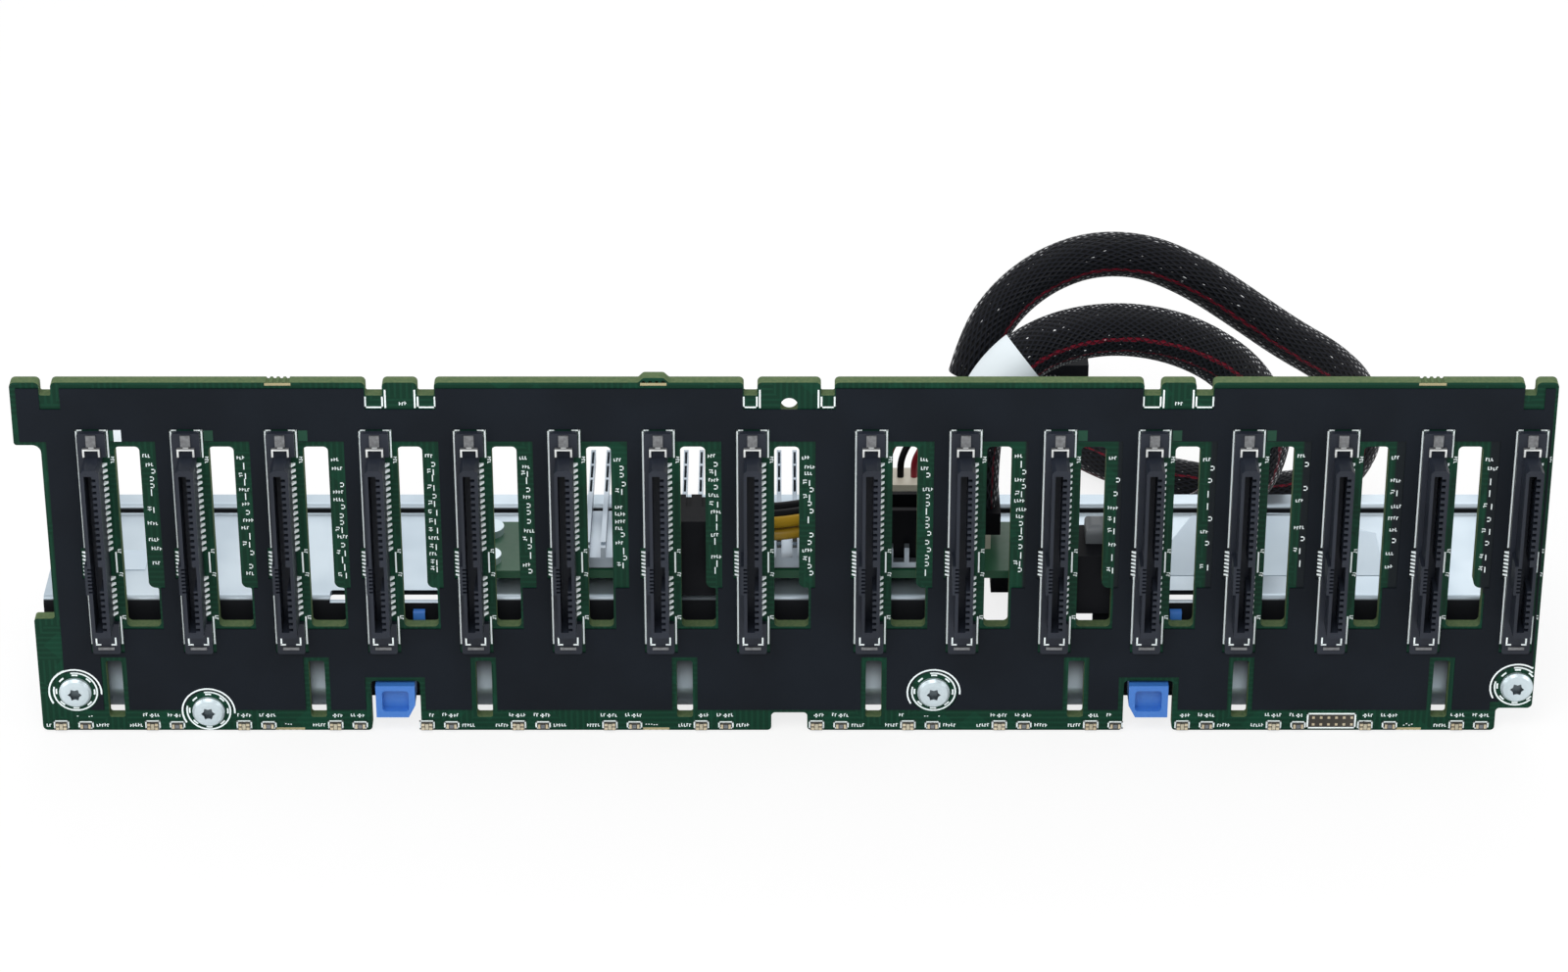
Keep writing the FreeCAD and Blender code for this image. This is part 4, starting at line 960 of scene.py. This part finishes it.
class BACKPLANE_OT_cables(bpy.types.Operator):
    """Draws the two sleeved cables along their routes"""
    bl_idname = "backplane.cables"
    bl_label = "Sleeved cables"

    def execute(self, context):
        wiring = context.scene.backplane_wiring
        for node, points, diameter, plug, finish in (
                ("sleeved_cable_upper", SLEEVE_A, wiring.upper_diameter, "upper_cable_plug", upper_sleeve),
                ("sleeved_cable_lower", SLEEVE_B, wiring.lower_diameter, "lower_cable_plug", lower_sleeve)):
            sleeve = drawn_cable(node.replace("sleeved_cable", "braided_cable"), points, diameter, finish)
            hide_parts(node)
            if node.endswith("lower"):
                wrapped_label(sleeve, diameter)
        return {"FINISHED"}


def drawn_cable(name, points, diameter, finish):
    """A sleeve as a spline with a round section, its points in mm from the board's front face."""
    curve = bpy.data.curves.new(name, "CURVE")
    curve.dimensions = "3D"
    spline = curve.splines.new("NURBS")
    spline.points.add(len(points) - 1)
    for point, place in zip(spline.points, points):
        spot = Vector(place) * MM + Vector((0, FRONT, 0))
        point.co = (*spot, 1)
    spline.order_u = 3
    spline.use_endpoint_u = True
    spline.resolution_u = 10
    curve.bevel_depth = diameter / 2
    curve.bevel_resolution = 8
    curve.use_fill_caps = True
    curve.materials.append(material_of(finish))
    obj = bpy.data.objects.new(name, curve)
    bpy.context.collection.objects.link(obj)
    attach(obj, ROOT)
    return obj


def route_places(sleeve):
    """Points along a sleeve's own line."""
    line = sleeve.copy()
    line.data = sleeve.data.copy()
    line.data.bevel_depth = 0
    bpy.context.collection.objects.link(line)
    bpy.context.view_layer.update()
    mesh = bpy.data.meshes.new_from_object(line)
    places = [vertex.co.copy() for vertex in mesh.vertices]
    bpy.data.objects.remove(line)
    return places


def wrapped_label(sleeve, diameter):
    """The blank paper band round the lower sleeve: rings square to its line, bridged and thickened."""
    places = route_places(sleeve)
    band = empty_sheet("wrapped_label")
    run = 0
    for before, after in zip(places, places[1:]):
        run += (after - before).length
        if LABEL_RUN[0] * MM <= run <= LABEL_RUN[1] * MM:
            turn = (after - before).to_track_quat("Z", "Y").to_euler()
            bpy.ops.mesh.primitive_circle_add(vertices=32, radius=diameter / 2 + 0.05 * MM,
                                              location=after, rotation=turn)
    bpy.ops.mesh.select_all(action="SELECT")
    bpy.ops.mesh.bridge_edge_loops()
    bpy.ops.mesh.select_all(action="SELECT")
    bpy.ops.mesh.normals_make_consistent(inside=False)
    bpy.ops.object.mode_set(mode="OBJECT")
    thick = band.modifiers.new("paper", "SOLIDIFY")
    thick.thickness = 0.3 * MM
    thick.offset = 1
    bpy.ops.object.modifier_apply(modifier=thick.name)
    bpy.ops.object.shade_smooth_by_angle(angle=math.radians(40))
    settled(band, "wrapped_label", label_paper)
    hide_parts("cable_label")
    return band


class BACKPLANE_OT_studio(bpy.types.Operator):
    """Makes the floor, the soft lights, the even sky and the camera"""
    bl_idname = "backplane.studio"
    bl_label = "Studio"

    def execute(self, context):
        studio = context.scene.backplane_studio
        make_floor()
        make_sky(context.scene, studio.sky_strength)
        soft_light("key_light", (-0.15, -0.75, 0.95), (0, 0, 0.03), 0.9, studio.key_power)
        soft_light("left_light", (-0.95, -0.25, 0.45), (0, 0, 0.03), 0.7, studio.fill_power)
        soft_light("right_light", (0.95, -0.15, 0.55), (0, 0, 0.03), 0.7, studio.fill_power)
        soft_light("back_light", (0.1, 0.8, 0.8), (0, 0, 0.03), 0.8, studio.fill_power)
        make_camera(context.scene)
        context.scene.view_settings.view_transform = "Standard"
        return {"FINISHED"}


def make_floor():
    """A pale floor that also lights itself a little where the camera sees it."""
    nothing_selected()
    bpy.ops.mesh.primitive_plane_add(size=8)
    floor = bpy.context.object
    floor.name = "floor"
    floor.location.z = -0.3 * MM
    material, tree, shader = plain_material("floor_white", (0.93, 0.93, 0.93), 0.9)
    bright = tree.nodes.new("ShaderNodeEmission")
    bright.inputs["Color"].default_value = (1, 1, 1, 1)
    path = tree.nodes.new("ShaderNodeLightPath")
    mixer = tree.nodes.new("ShaderNodeMixShader")
    share = math_node(tree, "MULTIPLY", path.outputs["Is Camera Ray"], 0.8)
    tree.links.new(share, mixer.inputs["Fac"])
    tree.links.new(shader.outputs[0], mixer.inputs[1])
    tree.links.new(bright.outputs[0], mixer.inputs[2])
    tree.links.new(mixer.outputs[0], tree.nodes["Material Output"].inputs["Surface"])
    floor.data.materials.append(material)


def make_sky(scene, strength):
    world = bpy.data.worlds.new("studio_sky")
    world.use_nodes = True
    tree = world.node_tree
    sky = tree.nodes["Background"]
    sky.inputs["Color"].default_value = (1, 1, 1, 1)
    sky.inputs["Strength"].default_value = strength
    plain = tree.nodes.new("ShaderNodeBackground")
    plain.inputs["Strength"].default_value = 1
    path = tree.nodes.new("ShaderNodeLightPath")
    seen = math_node(tree, "MAXIMUM", path.outputs["Is Camera Ray"], path.outputs["Is Glossy Ray"])
    mixer = tree.nodes.new("ShaderNodeMixShader")
    tree.links.new(seen, mixer.inputs["Fac"])
    tree.links.new(sky.outputs[0], mixer.inputs[1])
    tree.links.new(plain.outputs[0], mixer.inputs[2])
    tree.links.new(mixer.outputs[0], tree.nodes["World Output"].inputs["Surface"])
    scene.world = world


def soft_light(name, place, target, size, power):
    data = bpy.data.lights.new(name, "AREA")
    data.shape = "DISK"
    data.size = size
    data.energy = power
    lamp = bpy.data.objects.new(name, data)
    bpy.context.collection.objects.link(lamp)
    lamp.location = place
    lamp.rotation_euler = (Vector(target) - Vector(place)).to_track_quat("-Z", "Y").to_euler()


def make_camera(scene):
    """The camera looks down on the drive side by about 29 degrees, from the board's middle."""
    data = bpy.data.cameras.new("camera")
    data.sensor_width = 36
    data.lens = 114.3
    data.clip_start = 0.05
    data.clip_end = 20
    camera = bpy.data.objects.new("camera", data)
    bpy.context.collection.objects.link(camera)
    camera.location = (0, FRONT - 0.80057, 0.50035)
    camera.rotation_euler = (math.radians(60.8), 0, 0)
    scene.camera = camera


class BACKPLANE_PT_panel(bpy.types.Panel):
    """Lists the pieces and the studio"""
    bl_idname = "BACKPLANE_PT_panel"
    bl_label = "Backplane"
    bl_space_type = "VIEW_3D"
    bl_region_type = "UI"
    bl_category = "Backplane"

    def draw(self, context):
        for settings in (context.scene.backplane_board, context.scene.backplane_wiring,
                         context.scene.backplane_studio):
            for key in settings.__annotations__:
                self.layout.prop(settings, key)
        for operator in OPERATORS:
            self.layout.operator(operator.bl_idname)


SETTINGS = (("backplane_board", BoardSettings), ("backplane_wiring", WiringSettings),
            ("backplane_studio", StudioSettings))
OPERATORS = (BACKPLANE_OT_finishes, BACKPLANE_OT_cables, BACKPLANE_OT_socket_print,
             BACKPLANE_OT_vent_print, BACKPLANE_OT_light_print, BACKPLANE_OT_key_print,
             BACKPLANE_OT_shelf_label, BACKPLANE_OT_studio)


def register():
    for name, settings in SETTINGS:
        bpy.utils.register_class(settings)
        setattr(bpy.types.Scene, name, bpy.props.PointerProperty(type=settings))
    for cls in OPERATORS + (BACKPLANE_PT_panel,):
        bpy.utils.register_class(cls)


def unregister():
    for cls in reversed(OPERATORS + (BACKPLANE_PT_panel,)):
        bpy.utils.unregister_class(cls)
    for name, settings in reversed(SETTINGS):
        delattr(bpy.types.Scene, name)
        bpy.utils.unregister_class(settings)


def main():
    register()
    for operator in OPERATORS:
        getattr(bpy.ops.backplane, operator.bl_idname.split(".")[1])()


if __name__ == "__main__":
    main()
